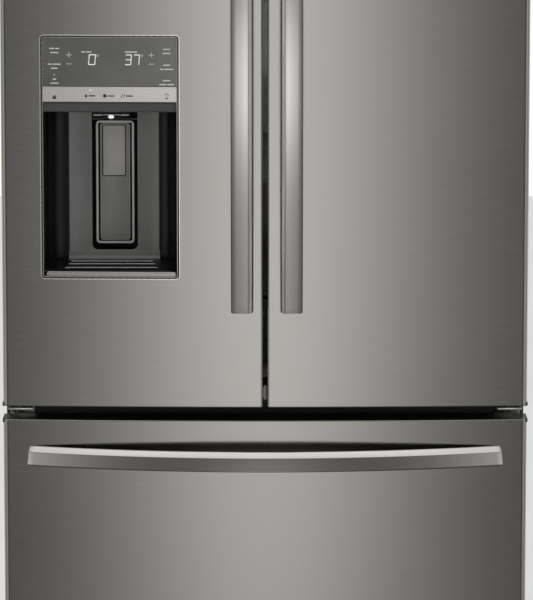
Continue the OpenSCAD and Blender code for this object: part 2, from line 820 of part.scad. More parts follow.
// bowed handle along Z on a door, between x0 and x1
module door_handle(x0) {
    mid = handle_low + handle_len / 2;
    crown = handle_front + 2;
    ends = crown_y - 15;
    color("silver") difference() {
        union() {
            translate([x0, 0, mid]) rotate([90, 0, 90]) linear_extrude(handle_w)
                bow(handle_len, crown, ends);
            for (z = [handle_low, handle_low + handle_len - 30])
                slab([x0, ends + 1, z], [x0 + handle_w, crown_y + 10, z + 30]);
        }
        translate([0, arc_y, handle_low - 1]) cylinder(r = front_r, h = handle_len + 2, $fn = arc_fn);
    }
}

module left_door_handle() {
    door_handle(-left_handle_in - handle_w);
}

module right_door_handle() {
    door_handle(right_handle_in);
}

module dispenser_housing() {
    x0 = disp_x0;
    x1 = disp_x1;
    color("black") {
        difference() {
            union() {
                intersection() {
                    slab([x0, crown_y - 5, disp_z0], [x1, disp_back + housing_wall, disp_z1]);
                    translate([0, arc_y, 0]) cylinder(r = front_r + 1.5, h = 1800, $fn = arc_fn);
                }
                // rim that lies on the skin
                intersection() {
                    slab([x0 - 2.5, crown_y - 5, disp_z0 - 2.5], [x1 + 2.5, crown_y + 30, disp_z1 + 2.5]);
                    difference() {
                        translate([0, arc_y, 0]) cylinder(r = front_r + 1.5, h = 1800, $fn = arc_fn);
                        translate([0, arc_y, -1]) cylinder(r = front_r, h = 1802, $fn = arc_fn);
                    }
                }
                slab([paddle_x - recess_half - 8, disp_back, recess_z0 - 5],
                     [paddle_x + recess_half + 8, disp_back + recess_deep + 3, recess_z1 + 5]);
            }
            // cavity
            slab([x0 + 5, crown_y - 5, cavity_z0], [x1 - 5, disp_back, cavity_z1]);
            // step for the drip tray's apron
            slab([x0 + 5, crown_y - 5, disp_z0 + 2], [x1 - 5, front_y(x0) + 8, cavity_z0 + 1]);
            // hollow behind the display
            slab([x0 + 4, front_y(x0) + 9, cavity_z1 + 8], [x1 - 4, disp_back + 5, disp_z1 - 4]);
            // pocket for the display
            intersection() {
                slab([x0 + 2, crown_y - 5, cavity_z1 + 18], [x1 - 2, front_y(x0) + 8, disp_z1 - 2]);
                translate([0, arc_y, 0]) cylinder(r = front_r + 3, h = 1800, $fn = arc_fn);
            }
            // recess for the paddle
            slab([paddle_x - recess_half, disp_back - 1, recess_z0],
                 [paddle_x + recess_half, disp_back + recess_deep, recess_z1]);
            bar_x(paddle_x - recess_half - 6, paddle_x + recess_half + 6, disp_back + 5, paddle_pin_z, 2.05);
            // mouth of the chute
            slab([chute_x - 32, -325, cavity_z1 - 1], [chute_x + 32, -271, cavity_z1 + 9]);
            slab([chute_x - 35.2, -328.2, cavity_z1 + 8], [chute_x + 35.2, -265, disp_z1 + 1]);
        }
        // chute from the back of the door down to the cavity
        difference() {
            slab([chute_x - 35, -328, cavity_z1 + 8.2], [chute_x + 35, -268, chute_z1 + 3]);
            slab([chute_x - 32, -325, cavity_z1 + 7], [chute_x + 32, -271, chute_z1]);
            bar_x(chute_x - 34.6, chute_x + 34.6, flap_axis_y, cavity_z1 + 13, chute_pin + 0.05);
            slab([chute_x - 32, -290, 1418], [chute_x + 32, -260, chute_z1]);
        }
        // water tube and nozzle
        bar_x(paddle_x - 30, paddle_x + 30, -338, cavity_z1 - 2.5, 3);
        pin_z(paddle_x, -338, cavity_z1 - 14, cavity_z1 - 3, 3.5);
    }
}

module dispenser_display() {
    color("darkslategray") intersection() {
        slab([disp_x0 + 2.2, crown_y - 5, cavity_z1 + 18.2],
             [disp_x1 - 2.2, front_y(disp_x0) + 3, disp_z1 - 2.2]);
        difference() {
            translate([0, arc_y, 0]) cylinder(r = front_r + 1.2, h = 1800, $fn = arc_fn);
            translate([0, arc_y, -1]) cylinder(r = front_r - 4, h = 1802, $fn = arc_fn);
        }
    }
}

module dispenser_paddle() {
    y = disp_back + 5;
    color("dimgray") {
        slab([paddle_x - paddle_half, y - 3, paddle_z0], [paddle_x + paddle_half, y + 3, paddle_z1]);
        slab([paddle_x - paddle_half + 6, y - 6, paddle_z1 - 95],
             [paddle_x + paddle_half - 6, y - 2.9, paddle_z1 - 6]);
        bar_x(paddle_x - recess_half - 5, paddle_x + recess_half + 5, y, paddle_pin_z, 2);
    }
}

module drip_tray() {
    low = [disp_x0 + 6, front_y(disp_x0) + 4, cavity_z0 + clear];
    high = [disp_x1 - 6, disp_back - 2, cavity_z0 + 11];
    slots = 14;
    pitch = 5.6;
    color("silver") {
        difference() {
            slab(low, high);
            slab([low[0] + 4, low[1] + 5, low[2] + 3], [high[0] - 4, high[1] - 4, high[2] - 3]);
            for (i = [0 : slots - 1])
                slab([low[0] + 8, low[1] + 9 + i * pitch, high[2] - 4],
                     [high[0] - 8, low[1] + 11.5 + i * pitch, high[2] + 1]);
        }
        // apron over the housing's lower edge
        intersection() {
            slab([low[0], crown_y - 5, disp_z0 + 2.5], [high[0], low[1] + 3, high[2]]);
            translate([0, arc_y, 0]) cylinder(r = front_r + 1.2, h = 1800, $fn = arc_fn);
        }
    }
}

module chute_flap() {
    color("black") {
        slab([chute_x - 31, -322, cavity_z1 + 12], [chute_x + 31, flap_axis_y, cavity_z1 + 14]);
        bar_x(chute_x - 34.4, chute_x + 34.4, flap_axis_y, cavity_z1 + 13, chute_pin);
    }
}

module mullion_flap() {
    color("gray") {
        slab([flap_x - flap_t / 2, flap_y + 2, flap_z0], [flap_x + flap_t / 2, flap_y + 2 + flap_w, flap_z1]);
        pin_z(flap_x, flap_y, flap_z0 - 7, flap_z1 + 7, flap_pin);
    }
}

bin_in = dike_in + dike_w + 1;
bin_out = dike_out - dike_w - 1;

module left_door_bins() {
    color("aliceblue") {
        bin(-bin_out, -bin_in, -215, fresh_z0 + 32, fresh_z0 + 140);
        bin(-195, -bin_in, -200, fresh_z0 + 640, fresh_z0 + 740);
        bin(-bin_out, -bin_in, -230, fresh_z0 + 790, fresh_z0 + 880);
    }
}

dairy_x = [bin_in + 11, bin_out - 7];
dairy_z = fresh_z0 + 780;
lid_z = dairy_z + 76;
lid_pin = 3;

module right_door_bins() {
    color("aliceblue") {
        bin(bin_in, bin_out, -215, fresh_z0 + 32, fresh_z0 + 140);
        bin(bin_in, bin_out, -180, fresh_z0 + 350, fresh_z0 + 470);
        bin(bin_in, bin_out, -180, fresh_z0 + 560, fresh_z0 + 680);
        // dairy bin with the ears that hold its lid
        difference() {
            union() {
                bin(dairy_x[0], dairy_x[1], -185, dairy_z, dairy_z + 70);
                for (x = [dairy_x[0], dairy_x[1] - 2.5])
                    slab([x, door_back + 1, dairy_z + 69], [x + 2.5, door_back + 15, dairy_z + 84]);
            }
            bar_x(dairy_x[0] - 1, dairy_x[1] + 1, door_back + 7, lid_z + 1.5, lid_pin + 0.05);
        }
    }
}

module dairy_lid() {
    x0 = dairy_x[0] + 4;
    x1 = dairy_x[1] - 4;
    color("lightcyan") {
        slab([x0, door_back + 7, lid_z], [x1, -182, lid_z + 2.5]);
        slab([x0, -184.6, lid_z - 40], [x1, -182, lid_z + 0.1]);
        bar_x(dairy_x[0] + 0.3, dairy_x[1] - 0.3, door_back + 7, lid_z + 1.5, lid_pin);
    }
}

// ---------- freezer drawer ----------

module drawer_skin() {
    color("slategray")
        panel_skin(-door_half, door_half, drawer_bottom, drawer_top,
                   outer_roll, outer_roll, cap_out, cap_out);
}

module drawer_foam() {
    color("khaki") panel_foam(-door_half, door_half, drawer_bottom, drawer_top, outer_roll, outer_roll);
}

module drawer_liner() {
    color("white") {
        panel_liner(-door_half, door_half, drawer_bottom, drawer_top);
        ring_y([-freezer_half + 60, freezer_z0 + 12], [freezer_half - 60, freezer_z1 - 12], dike_w,
               door_back - 0.1, dike_y - 4);
    }
}

module drawer_caps() {
    color("black") caps(-door_half, door_half, drawer_bottom, drawer_top, cap_out, cap_out);
}

module drawer_gasket() {
    color("gray") ring_y([-seal_out, drawer_bottom + 26], [seal_out, drawer_top - 12], seal_w,
        door_back, cabinet_front - clear);
}

module drawer_handle() {
    half = handle_len / 2;
    ends = front_y(half) - 15;
    color("silver") difference() {
        union() {
            translate([0, 0, drawer_handle_z - drawer_handle_h / 2]) linear_extrude(drawer_handle_h)
                rotate(90) mirror([0, 1]) bow(handle_len, handle_front, ends);
            for (s = [-1, 1])
                slab([s * (half - 15) - 15, ends + 1, drawer_handle_z - drawer_handle_h / 2],
                     [s * (half - 15) + 15, ends + 40, drawer_handle_z + drawer_handle_h / 2]);
        }
        translate([0, arc_y, drawer_bottom])
            cylinder(r = front_r, h = drawer_top - drawer_bottom, $fn = arc_fn);
    }
}

module drawer_frame() {
    color("silver") {
        for (s = [-1, 1]) {
            // inner slide member and the arm that carries the basket
            slab([s * 375 - 3, door_back + 0.1, rail_z + 6], [s * 375 + 3, 150, rail_z + 34]);
            slab([s * 370 - 2.1, door_back + 0.1, rail_z - 60], [s * 370 + 2.1, 150, rail_z + 34]);
            slab([s * 354 - 18, door_back + 0.1, rail_z - 60], [s * 354 + 18, door_back + 4, rail_z + 34]);
        }
        slab([-370, 146, rail_z - 60], [370, 150, rail_z - 40]);
    }
}

module lower_basket() {
    low = [-364, door_back + 34, freezer_z0 + 18];
    high = [364, 142, rail_z - 24];
    color("whitesmoke") difference() {
        union() {
            tub(low, high, 3);
            // rims that lie on the drawer frame's arms
            for (s = [-1, 1])
                slab([s * 365.4 - 2.4, low[1], high[2] - 4], [s * 365.4 + 2.4, high[1], high[2]]);
        }
        // slots in the sides
        for (y = [-220 : 40 : 120])
            slab([low[0] - 1, y - 12, low[2] + 30], [high[0] + 1, y + 12, high[2] - 40]);
    }
}

module middle_rails() {
    color("gray") for (s = [-1, 1])
        slab([s * 382 - 3.3, cabinet_front + 26, rail_z + 3], [s * 382 + 3.3, 188, rail_z + 37]);
}

module upper_basket() {
    low = [-360, -215, rail_z + 60.5];
    high = [360, 195, rail_z + 165];
    color("whitesmoke") difference() {
        union() {
            tub(low, high, 3);
            for (s = [-1, 1])
                slab([s * 372 - 14, low[1], low[2]], [s * 372 + 14, high[1], low[2] + 3]);
        }
        for (x = [-320 : 40 : 320])
            slab([x - 12, low[1] - 1, low[2] + 25], [x + 12, high[1] + 1, high[2] - 25]);
    }
}

module drawer_box(x0, x1, z, rear) {
    tub([x0, shelf_front, z[0]], [x1, rear, z[1]], 3);
}

// pull along the top of a drawer's front
module pull(x0, x1, z) {
    slab([x0, shelf_front - 8, z[1] - 10], [x1, shelf_front + 0.1, z[1] - 6]);
}

module deli_drawer() {
    color("lightcyan") {
        drawer_box(-396, 396, deli_z, 290);
        pull(-336, -64, deli_z);
        pull(64, 336, deli_z);
    }
}

module left_crisper() {
    color("lightcyan") {
        drawer_box(-396, -4, crisper_z, 290);
        pull(-336, -64, crisper_z);
    }
}

module right_crisper() {
    color("lightcyan") {
        drawer_box(4, 396, crisper_z, 290);
        pull(64, 336, crisper_z);
    }
}

module rear_rollers() {
    color("darkslategray") {
        for (s = [-1, 1])
            bar_x(s * roller_x - 10, s * roller_x + 10, roller_y, roller_r, roller_r);
        bar_x(-roller_x - 22, roller_x + 22, roller_y, roller_r, axle_r);
    }
}

cabinet_shell();
rear_panel();
cabinet_foam();
fresh_food_liner();
freezer_liner();
base_frame();
toe_grille();
leveling_legs();
machine_cover();
rear_fittings();
compressor();
condenser();
evaporator();
evaporator_cover();
air_duct();
shelf_frames();
shelf_glass();
ice_maker_box();
hinge_brackets();
hinge_covers();
freezer_rails();
left_door_skin();
left_door_foam();
left_door_liner();
left_door_caps();
left_door_gasket();
left_door_handle();
dispenser_housing();
dispenser_display();
left_door_bins();
mullion_flap();
dispenser_paddle();
drip_tray();
chute_flap();
right_door_skin();
right_door_foam();
right_door_liner();
right_door_caps();
right_door_gasket();
right_door_handle();
right_door_bins();
dairy_lid();
drawer_skin();
drawer_foam();
drawer_liner();
drawer_caps();
drawer_gasket();
drawer_handle();
drawer_frame();
lower_basket();
middle_rails();
upper_basket();
deli_drawer();
left_crisper();
right_crisper();
ice_bin();
ice_auger();
evaporator_fan();
condenser_fan();
rear_rollers();
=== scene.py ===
"""French door refrigerator: the looks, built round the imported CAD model."""

import json
import math

import bmesh
import bpy
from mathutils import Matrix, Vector

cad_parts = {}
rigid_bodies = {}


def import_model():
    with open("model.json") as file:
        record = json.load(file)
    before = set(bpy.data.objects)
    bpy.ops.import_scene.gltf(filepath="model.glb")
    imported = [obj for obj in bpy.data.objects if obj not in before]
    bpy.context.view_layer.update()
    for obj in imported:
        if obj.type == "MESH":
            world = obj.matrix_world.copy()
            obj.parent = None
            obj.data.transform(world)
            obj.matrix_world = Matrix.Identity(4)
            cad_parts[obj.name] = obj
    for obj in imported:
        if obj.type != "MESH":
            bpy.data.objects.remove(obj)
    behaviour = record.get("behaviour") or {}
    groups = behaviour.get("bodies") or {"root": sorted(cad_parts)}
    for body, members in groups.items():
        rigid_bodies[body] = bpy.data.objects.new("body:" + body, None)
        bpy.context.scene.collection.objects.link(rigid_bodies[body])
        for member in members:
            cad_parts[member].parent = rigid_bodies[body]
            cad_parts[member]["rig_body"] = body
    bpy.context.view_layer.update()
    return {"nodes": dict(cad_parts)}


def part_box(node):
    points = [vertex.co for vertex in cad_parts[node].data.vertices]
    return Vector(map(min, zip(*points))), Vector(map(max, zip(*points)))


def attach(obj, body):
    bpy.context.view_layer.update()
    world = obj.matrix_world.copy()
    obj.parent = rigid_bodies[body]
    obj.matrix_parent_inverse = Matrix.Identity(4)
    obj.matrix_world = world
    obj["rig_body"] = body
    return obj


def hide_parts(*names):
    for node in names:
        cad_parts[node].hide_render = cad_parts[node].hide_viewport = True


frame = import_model()
NODES = frame["nodes"]
MM = 0.001

# the common front arc of the doors and the drawer, in millimetres as every length below
HALF_W = 454
CROWN_Y = -369
SAG = 17
FRONT_R = (HALF_W**2 + SAG**2) / (2 * SAG)
ARC_Y = CROWN_Y + FRONT_R
DOOR_BACK = -290
SKIN = 1.5


def mm_box(node):
    low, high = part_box(node)
    return [c / MM for c in low], [c / MM for c in high]


def front_y(x, out=0.0):
    """Where the front arc, moved outwards by out, stands at x."""
    return ARC_Y - math.sqrt((FRONT_R + out) ** 2 - x * x)


# ---------- camera ----------

# in metres
CAMERA_AT = Vector((0.0024, -7.369, 1.870))
LOOK_AT = Vector((0.0024, -0.369, 0.890))
camera_data = bpy.data.cameras.new("camera")
camera_data.lens = 246.3
camera_data.sensor_width = 36
camera = bpy.data.objects.new("camera", camera_data)
bpy.context.scene.collection.objects.link(camera)
camera.location = CAMERA_AT
camera.rotation_euler = (LOOK_AT - CAMERA_AT).to_track_quat("-Z", "Y").to_euler()
bpy.context.scene.camera = camera
bpy.context.scene.view_settings.view_transform = "Standard"


# ---------- node helpers ----------


def link(tree, out, into):
    tree.links.new(out, into)


def math_node(tree, operation, a, b=None):
    node = tree.nodes.new("ShaderNodeMath")
    node.operation = operation
    for i, value in enumerate((a, b)):
        if value is None:
            continue
        if isinstance(value, (int, float)):
            node.inputs[i].default_value = value
        else:
            link(tree, value, node.inputs[i])
    return node.outputs[0]


def ramp(tree, fac, stops):
    """A smooth curve of grey or colour over fac; stops are (position, value or colour)."""
    node = tree.nodes.new("ShaderNodeValToRGB")
    node.color_ramp.interpolation = "EASE"
    elements = node.color_ramp.elements
    while len(elements) > 1:
        elements.remove(elements[-1])
    for i, (position, value) in enumerate(stops):
        element = elements[0] if i == 0 else elements.new(position)
        element.position = position
        colour = (value,) * 3 if isinstance(value, (int, float)) else value
        element.color = (*colour, 1)
    link(tree, fac, node.inputs["Fac"])
    return node.outputs["Color"]


def spread(tree, fac, low, high, start=0.35, end=0.65):
    """fac between start and end becomes a value between low and high."""
    node = tree.nodes.new("ShaderNodeMapRange")
    link(tree, fac, node.inputs["Value"])
    node.inputs["From Min"].default_value = start
    node.inputs["From Max"].default_value = end
    node.inputs["To Min"].default_value = low
    node.inputs["To Max"].default_value = high
    return node.outputs["Result"]


def noise(tree, scale, stretch=(1, 1, 1), detail=3.0, rough=0.5):
    """Noise over the object's own coordinates; scale is in waves per metre."""
    coord = tree.nodes.new("ShaderNodeTexCoord")
    mapping = tree.nodes.new("ShaderNodeMapping")
    mapping.inputs["Scale"].default_value = stretch
    link(tree, coord.outputs["Object"], mapping.inputs["Vector"])
    node = tree.nodes.new("ShaderNodeTexNoise")
    node.inputs["Scale"].default_value = scale
    node.inputs["Detail"].default_value = detail
    node.inputs["Roughness"].default_value = rough
    link(tree, mapping.outputs["Vector"], node.inputs["Vector"])
    return node.outputs["Fac"]


def cells(tree, scale, feature="F1"):
    coord = tree.nodes.new("ShaderNodeTexCoord")
    node = tree.nodes.new("ShaderNodeTexVoronoi")
    node.feature = feature
    node.inputs["Scale"].default_value = scale
    link(tree, coord.outputs["Object"], node.inputs["Vector"])
    return node


def bump(tree, shader, height, strength, distance):
    node = tree.nodes.new("ShaderNodeBump")
    node.inputs["Strength"].default_value = strength
    node.inputs["Distance"].default_value = distance
    link(tree, height, node.inputs["Height"])
    link(tree, node.outputs["Normal"], shader.inputs["Normal"])


def tint(tree, shader, fac, dark, light):
    colour = ramp(tree, fac, [(0.3, dark), (0.7, light)])
    link(tree, colour, shader.inputs["Base Color"])


def new_material(name, metallic=0.0, specular=0.5, **sockets):
    material = bpy.data.materials.new(name)
    material.use_nodes = True
    shader = material.node_tree.nodes["Principled BSDF"]
    shader.inputs["Metallic"].default_value = metallic
    shader.inputs["Specular IOR Level"].default_value = specular
    for key, value in sockets.items():
        shader.inputs[key.replace("_", " ")].default_value = value
    return material, material.node_tree, shader


def scaled(colour, k):
    return tuple(c * k for c in colour)


def brushed(name, colour, rough, grain, lines=700, *, depth):
    """Brushed metal. grain is the axis, 0 to 2, that the brushing runs along."""
    material, tree, shader = new_material(name, metallic=1.0)
    stretch = [1.0, 1.0, 1.0]
    stretch[grain] = 0.012
    fine = noise(tree, lines, stretch, detail=4, rough=0.65)
    broad = noise(tree, 2.6, detail=2)
    parts = math_node(tree, "MULTIPLY", fine, 0.7), math_node(tree, "MULTIPLY", broad, 0.3)
    mixed = math_node(tree, "ADD", *parts)
    tint(tree, shader, mixed, scaled(colour, 0.95), scaled(colour, 1.05))
    link(tree, spread(tree, mixed, rough * 0.86, rough * 1.14), shader.inputs["Roughness"])
    bump(tree, shader, fine, depth, 0.0002)
    return material


def moulded(name, colour, rough, grain=900, depth=0.12, **more):
    """Moulded plastic with a fine spark-eroded grain."""
    material, tree, shader = new_material(name, **more)
    fine = noise(tree, grain, detail=2)
    broad = noise(tree, 14, detail=3)
    tint(tree, shader, broad, scaled(colour, 0.9), scaled(colour, 1.1))
    link(tree, spread(tree, broad, rough * 0.9, rough * 1.1), shader.inputs["Roughness"])
    bump(tree, shader, fine, depth, 0.0002)
    return material


def see_through(name, colour, rough, alpha):
    material, tree, shader = new_material(name, Alpha=alpha, specular=0.7)
    broad = noise(tree, 9, detail=2)
    tint(tree, shader, broad, scaled(colour, 0.97), colour)
    link(tree, spread(tree, broad, rough * 0.7, rough * 1.3), shader.inputs["Roughness"])
    bump(tree, shader, noise(tree, 600, detail=1), 0.02, 0.0001)
    return material


def zinc_spangle(name, colour, rough):
    material, tree, shader = new_material(name, metallic=1.0)
    crystals = cells(tree, 130)
    grey = tree.nodes.new("ShaderNodeRGBToBW")
    link(tree, crystals.outputs["Color"], grey.inputs["Color"])
    tint(tree, shader, grey.outputs["Val"], scaled(colour, 0.9), scaled(colour, 1.05))
    roughness = spread(tree, grey.outputs["Val"], rough * 0.8, rough * 1.25, 0.2, 0.8)
    link(tree, roughness, shader.inputs["Roughness"])
    bump(tree, shader, noise(tree, 240, detail=3), 0.08, 0.0003)
    return material


def orange_peel(name, colour, rough):
    """Powder paint on sheet steel."""
    material, tree, shader = new_material(name, specular=0.4)
    peel = cells(tree, 420, "SMOOTH_F1").outputs["Distance"]
    broad = noise(tree, 5, detail=2)
    tint(tree, shader, broad, scaled(colour, 0.93), scaled(colour, 1.07))
    link(tree, spread(tree, broad, rough * 0.92, rough * 1.08), shader.inputs["Roughness"])
    bump(tree, shader, peel, 0.35, 0.0004)
    return material


def lit(name, colour, strength):
    glow = {"Emission_Color": (*colour, 1), "Emission_Strength": strength}
    material, tree, shader = new_material(name, **glow)
    tint(tree, shader, noise(tree, 60), scaled(colour, 0.9), colour)
    shader.inputs["Roughness"].default_value = 0.35
    return material


BLACK_STEEL = brushed("black_stainless", (0.355, 0.347, 0.335), 0.15, 0, 900, depth=0.02)
# the drawer's copy of the doors' black stainless, a little darker: painted shade
DRAWER_STEEL_PAINTED_SHADE = brushed("black_stainless_drawer_painted_shade", (0.33, 0.322, 0.311), 0.15, 0, 900, depth=0.02)
HANDLE_UP = brushed("handle_steel_upright", (0.68, 0.667, 0.647), 0.2, 2, depth=0.04)
# the drawer handle's steel, a darker copy of the upright handles' steel: painted shade
HANDLE_LEVEL_PAINTED_SHADE = brushed("handle_steel_level_painted_shade", (0.52, 0.51, 0.495), 0.2, 0, depth=0.04)
# a lighter, half-metal copy of the handle steel for the bars' cut edge: painted highlight
HANDLE_FACET_PAINTED_HIGHLIGHT = moulded("handle_facet_painted_highlight", (0.57, 0.56, 0.545), 0.42, depth=0.02, metallic=0.35)
# a near-black copy of the handle steel for the bars' sides: painted dark reflection
HANDLE_SIDE_PAINTED_DARK_REFLECTION = brushed("handle_side_painted_dark_reflection", (0.1, 0.1, 0.1), 0.3, 2, depth=0.04)
BEZEL_LINE = brushed("bezel_line", (0.8, 0.79, 0.78), 0.2, 0, depth=0.02)
SILVER_TRIM = brushed("silver_trim", (0.86, 0.84, 0.81), 0.3, 0, depth=0.05)
TRAY_SILVER = brushed("tray_silver", (0.5, 0.49, 0.475), 0.27, 0, depth=0.05)
HINGE_STEEL = brushed("plated_steel", (0.78, 0.78, 0.76), 0.28, 1, 500, depth=0.06)
GALVANISED = zinc_spangle("zinc_coat", (0.6, 0.62, 0.63), 0.42)
CABINET_PAINT = orange_peel("paint_cabinet", (0.045, 0.045, 0.047), 0.48)
BLACK_PLASTIC = moulded("plastic_black", (0.012, 0.012, 0.012), 0.42)
GLOSS_BLACK = moulded("gloss_black", (0.009, 0.009, 0.01), 0.3, depth=0.02, specular=0.3)
# near-black with little gloss: painted shade in the paddle's recess, groove and backing, and the
# dispenser ceiling's black
MATTE_BLACK_AND_PAINTED_SHADE = moulded("matte_black_and_painted_shade", (0.006, 0.006, 0.006), 0.5, depth=0.02, specular=0.12)
LINTEL_GREY = moulded("lintel_grey", (0.072, 0.072, 0.072), 0.34, depth=0.03, specular=0.7)
# grey for the niche's back wall, where the same black plastic catches light: painted light
NICHE_BACK_PAINTED_LIGHT = moulded("niche_back_painted_light", (0.225, 0.225, 0.22), 0.3, depth=0.02, specular=0.9)
# black display glass whose gloss reflects for real, with a grey base colour that stands in for the
# light it reflects: partly painted reflection
DISPLAY_GLASS_PAINTED_REFLECTION = moulded("display_glass_painted_reflection", (0.125, 0.125, 0.122), 0.14, depth=0.01, specular=1.0)
PADDLE_GREY = moulded("paddle_grey", (0.05, 0.05, 0.05), 0.34, depth=0.05, specular=1.0)
PANEL_GREY = moulded("paddle_panel", (0.28, 0.28, 0.275), 0.34, depth=0.05, specular=1.0)
PAD_GREY = moulded("pad_grey", (0.5, 0.49, 0.48), 0.4, depth=0.05, specular=0.9)
# the paddle frame's light grey, also put on the panel's bevel as a painted highlight
FRAME_GREY_AND_EDGE_HIGHLIGHT = moulded("paddle_frame", (0.55, 0.55, 0.54), 0.3, depth=0.03, specular=0.9)
LINER_WHITE = moulded("liner_white", (0.8, 0.81, 0.81), 0.34, grain=500, depth=0.05)
WHITE_PLASTIC = moulded("plastic_white", (0.76, 0.77, 0.77), 0.4)
SHELF_TRIM = moulded("trim_shelf", (0.62, 0.64, 0.65), 0.35, depth=0.06)
RUBBER = moulded("rubber_dark", (0.035, 0.035, 0.036), 0.6, grain=1400, depth=0.15, specular=0.35)
FOAM = moulded("foam_yellow", (0.72, 0.62, 0.38), 0.85, grain=260, depth=0.5)
FINS = brushed("aluminium_fins", (0.74, 0.75, 0.76), 0.33, 2, depth=0.08)
COMPRESSOR_PAINT = moulded("paint_compressor", (0.014, 0.014, 0.015), 0.28, grain=160, depth=0.1)
CLEAR_PLASTIC = see_through("plastic_clear", (0.8, 0.87, 0.9), 0.14, 0.3)
SHELF_GLASS = see_through("glass_shelf", (0.74, 0.88, 0.82), 0.08, 0.26)
MARK_WHITE = lit("mark_white", (0.74, 0.74, 0.72), 0.12)
DIGIT_WHITE = lit("digit_white", (0.86, 0.86, 0.84), 0.35)
LAMP_WHITE = lit("lamp_white", (1.0, 0.99, 0.96), 0.9)
INTERIOR_WHITE = lit("interior_lamp", (1.0, 0.98, 0.95), 24.0)
MARK_DARK = moulded("mark_dark", (0.03, 0.03, 0.03), 0.5, depth=0.02)


# ---------- mesh helpers ----------


def mesh_from(name, verts, faces):
    mesh = bpy.data.meshes.new(name)
    mesh.from_pydata([tuple(c * MM for c in v) for v in verts], [], faces)
    return mesh


def new_object(name, mesh):
    obj = bpy.data.objects.new(name, mesh)
    bpy.context.scene.collection.objects.link(obj)
    return obj


def fixed(obj):
    """Applies obj's modifiers to its mesh."""
    bpy.context.view_layer.update()
    made = bpy.data.meshes.new_from_object(obj.evaluated_get(bpy.context.evaluated_depsgraph_get()))
    obj.modifiers.clear()
    obj.data = made
    return obj


def outwards(mesh, merge=None, fill=False):
    """Turns normals outwards, after merging points closer than merge metres and closing holes."""
    bm = bmesh.new()
    bm.from_mesh(mesh)
    if merge is not None:
        bmesh.ops.remove_doubles(bm, verts=bm.verts, dist=merge)
        bmesh.ops.dissolve_degenerate(bm, edges=bm.edges, dist=1e-7)
    if fill:
        bmesh.ops.holes_fill(bm, edges=bm.edges)
    bmesh.ops.recalc_face_normals(bm, faces=bm.faces)
    bm.to_mesh(mesh)
    bm.free()


def thicken(obj, thickness, outside=-1.0):
    modifier = obj.modifiers.new("thickness", "SOLIDIFY")
    modifier.thickness = thickness * MM
    modifier.offset = outside
    modifier.use_even_offset = True
    return fixed(obj)


def soften(obj, width, segments):
    """Rounds obj's sharp edges and keeps its flat faces flat."""
    obj.data.shade_smooth()
    modifier = obj.modifiers.new("edges", "BEVEL")
    modifier.width = width * MM
    modifier.segments = segments
    modifier.limit_method = "ANGLE"
    modifier.angle_limit = math.radians(30)
    modifier.harden_normals = True
    modifier.miter_outer = "MITER_ARC"
    return fixed(obj)


def set_materials(mesh, materials):
    while len(mesh.materials):
        mesh.materials.pop()
    for material in materials:
        mesh.materials.append(material)


def place(obj, body, materials, stands_for=(), sharp=None):
    """Gives a piece its materials and body, and hides the CAD nodes it stands for."""
    set_materials(obj.data, materials if isinstance(materials, list) else [materials])
    if sharp is not None:
        obj.data.shade_smooth()
        obj.data.set_sharp_from_angle(angle=math.radians(sharp))
    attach(obj, body)
    if stands_for:
        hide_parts(*stands_for)
    return obj


def keep_material_indices(obj, chooser):
    """Gives each face the material number that chooser(face centre in mm, normal) returns."""
    for polygon in obj.data.polygons:
        polygon.material_index = chooser(polygon.center / MM, polygon.normal)


BOX_FACES = ((0, 1, 3, 2), (4, 6, 7, 5), (0, 4, 5, 1), (2, 3, 7, 6), (0, 2, 6, 4), (1, 5, 7, 3))


def boxes_mesh(name, corners):
    """One mesh of several boxes; corners are (low, high) pairs."""
    verts, faces = [], []
    for low, high in corners:
        base = len(verts)
        xs, ys, zs = zip(low, high)
        verts += [(x, y, z) for x in xs for y in ys for z in zs]
        faces += [tuple(base + i for i in f) for f in BOX_FACES]
    return mesh_from(name, verts, faces)


def soft_boxes(name, corners, width):
    obj = new_object(name, boxes_mesh(name, corners))
    outwards(obj.data)
    return soften(obj, width, 3)


def refined(node, width):
    """A copy of a CAD node with its edges rounded."""
    bm = bmesh.new()
    bm.from_mesh(NODES[node].data)
    bmesh.ops.remove_doubles(bm, verts=bm.verts, dist=2e-6)
    bmesh.ops.dissolve_limit(bm, angle_limit=math.radians(0.4), verts=bm.verts, edges=bm.edges)
    bmesh.ops.connect_verts_concave(bm, faces=bm.faces)
    mesh = bpy.data.meshes.new(node + "_piece")
    bm.to_mesh(mesh)
    bm.free()
    return soften(new_object(node + "_piece", mesh), width, 2)


def rounded_rect(x0, x1, z0, z1, radius, steps):
    """Points round a rounded rectangle in the XZ plane, and each point's inward direction."""
    points = []
    corners = ((x1, z0, -90), (x1, z1, 0), (x0, z1, 90), (x0, z0, 180))
    for x, z, start in corners:
        cx = x - radius if x == x1 else x + radius
        cz = z + radius if z == z0 else z - radius
        for i in range(steps + 1):
            a = math.radians(start + 90 * i / steps)
            c, s = math.cos(a), math.sin(a)
            points.append((cx + radius * c, cz + radius * s, -c, -s))
    return points


def divided(points, longest):
    """The same closed path with its long stretches divided."""
    out = []
    for i, p in enumerate(points):
        q = points[(i + 1) % len(points)]
        count = max(1, math.ceil(math.hypot(q[0] - p[0], q[1] - p[1]) / longest))
        for k in range(count):
            t = k / count
            out.append(tuple(a + (b - a) * t for a, b in zip(p, q)))
    return out


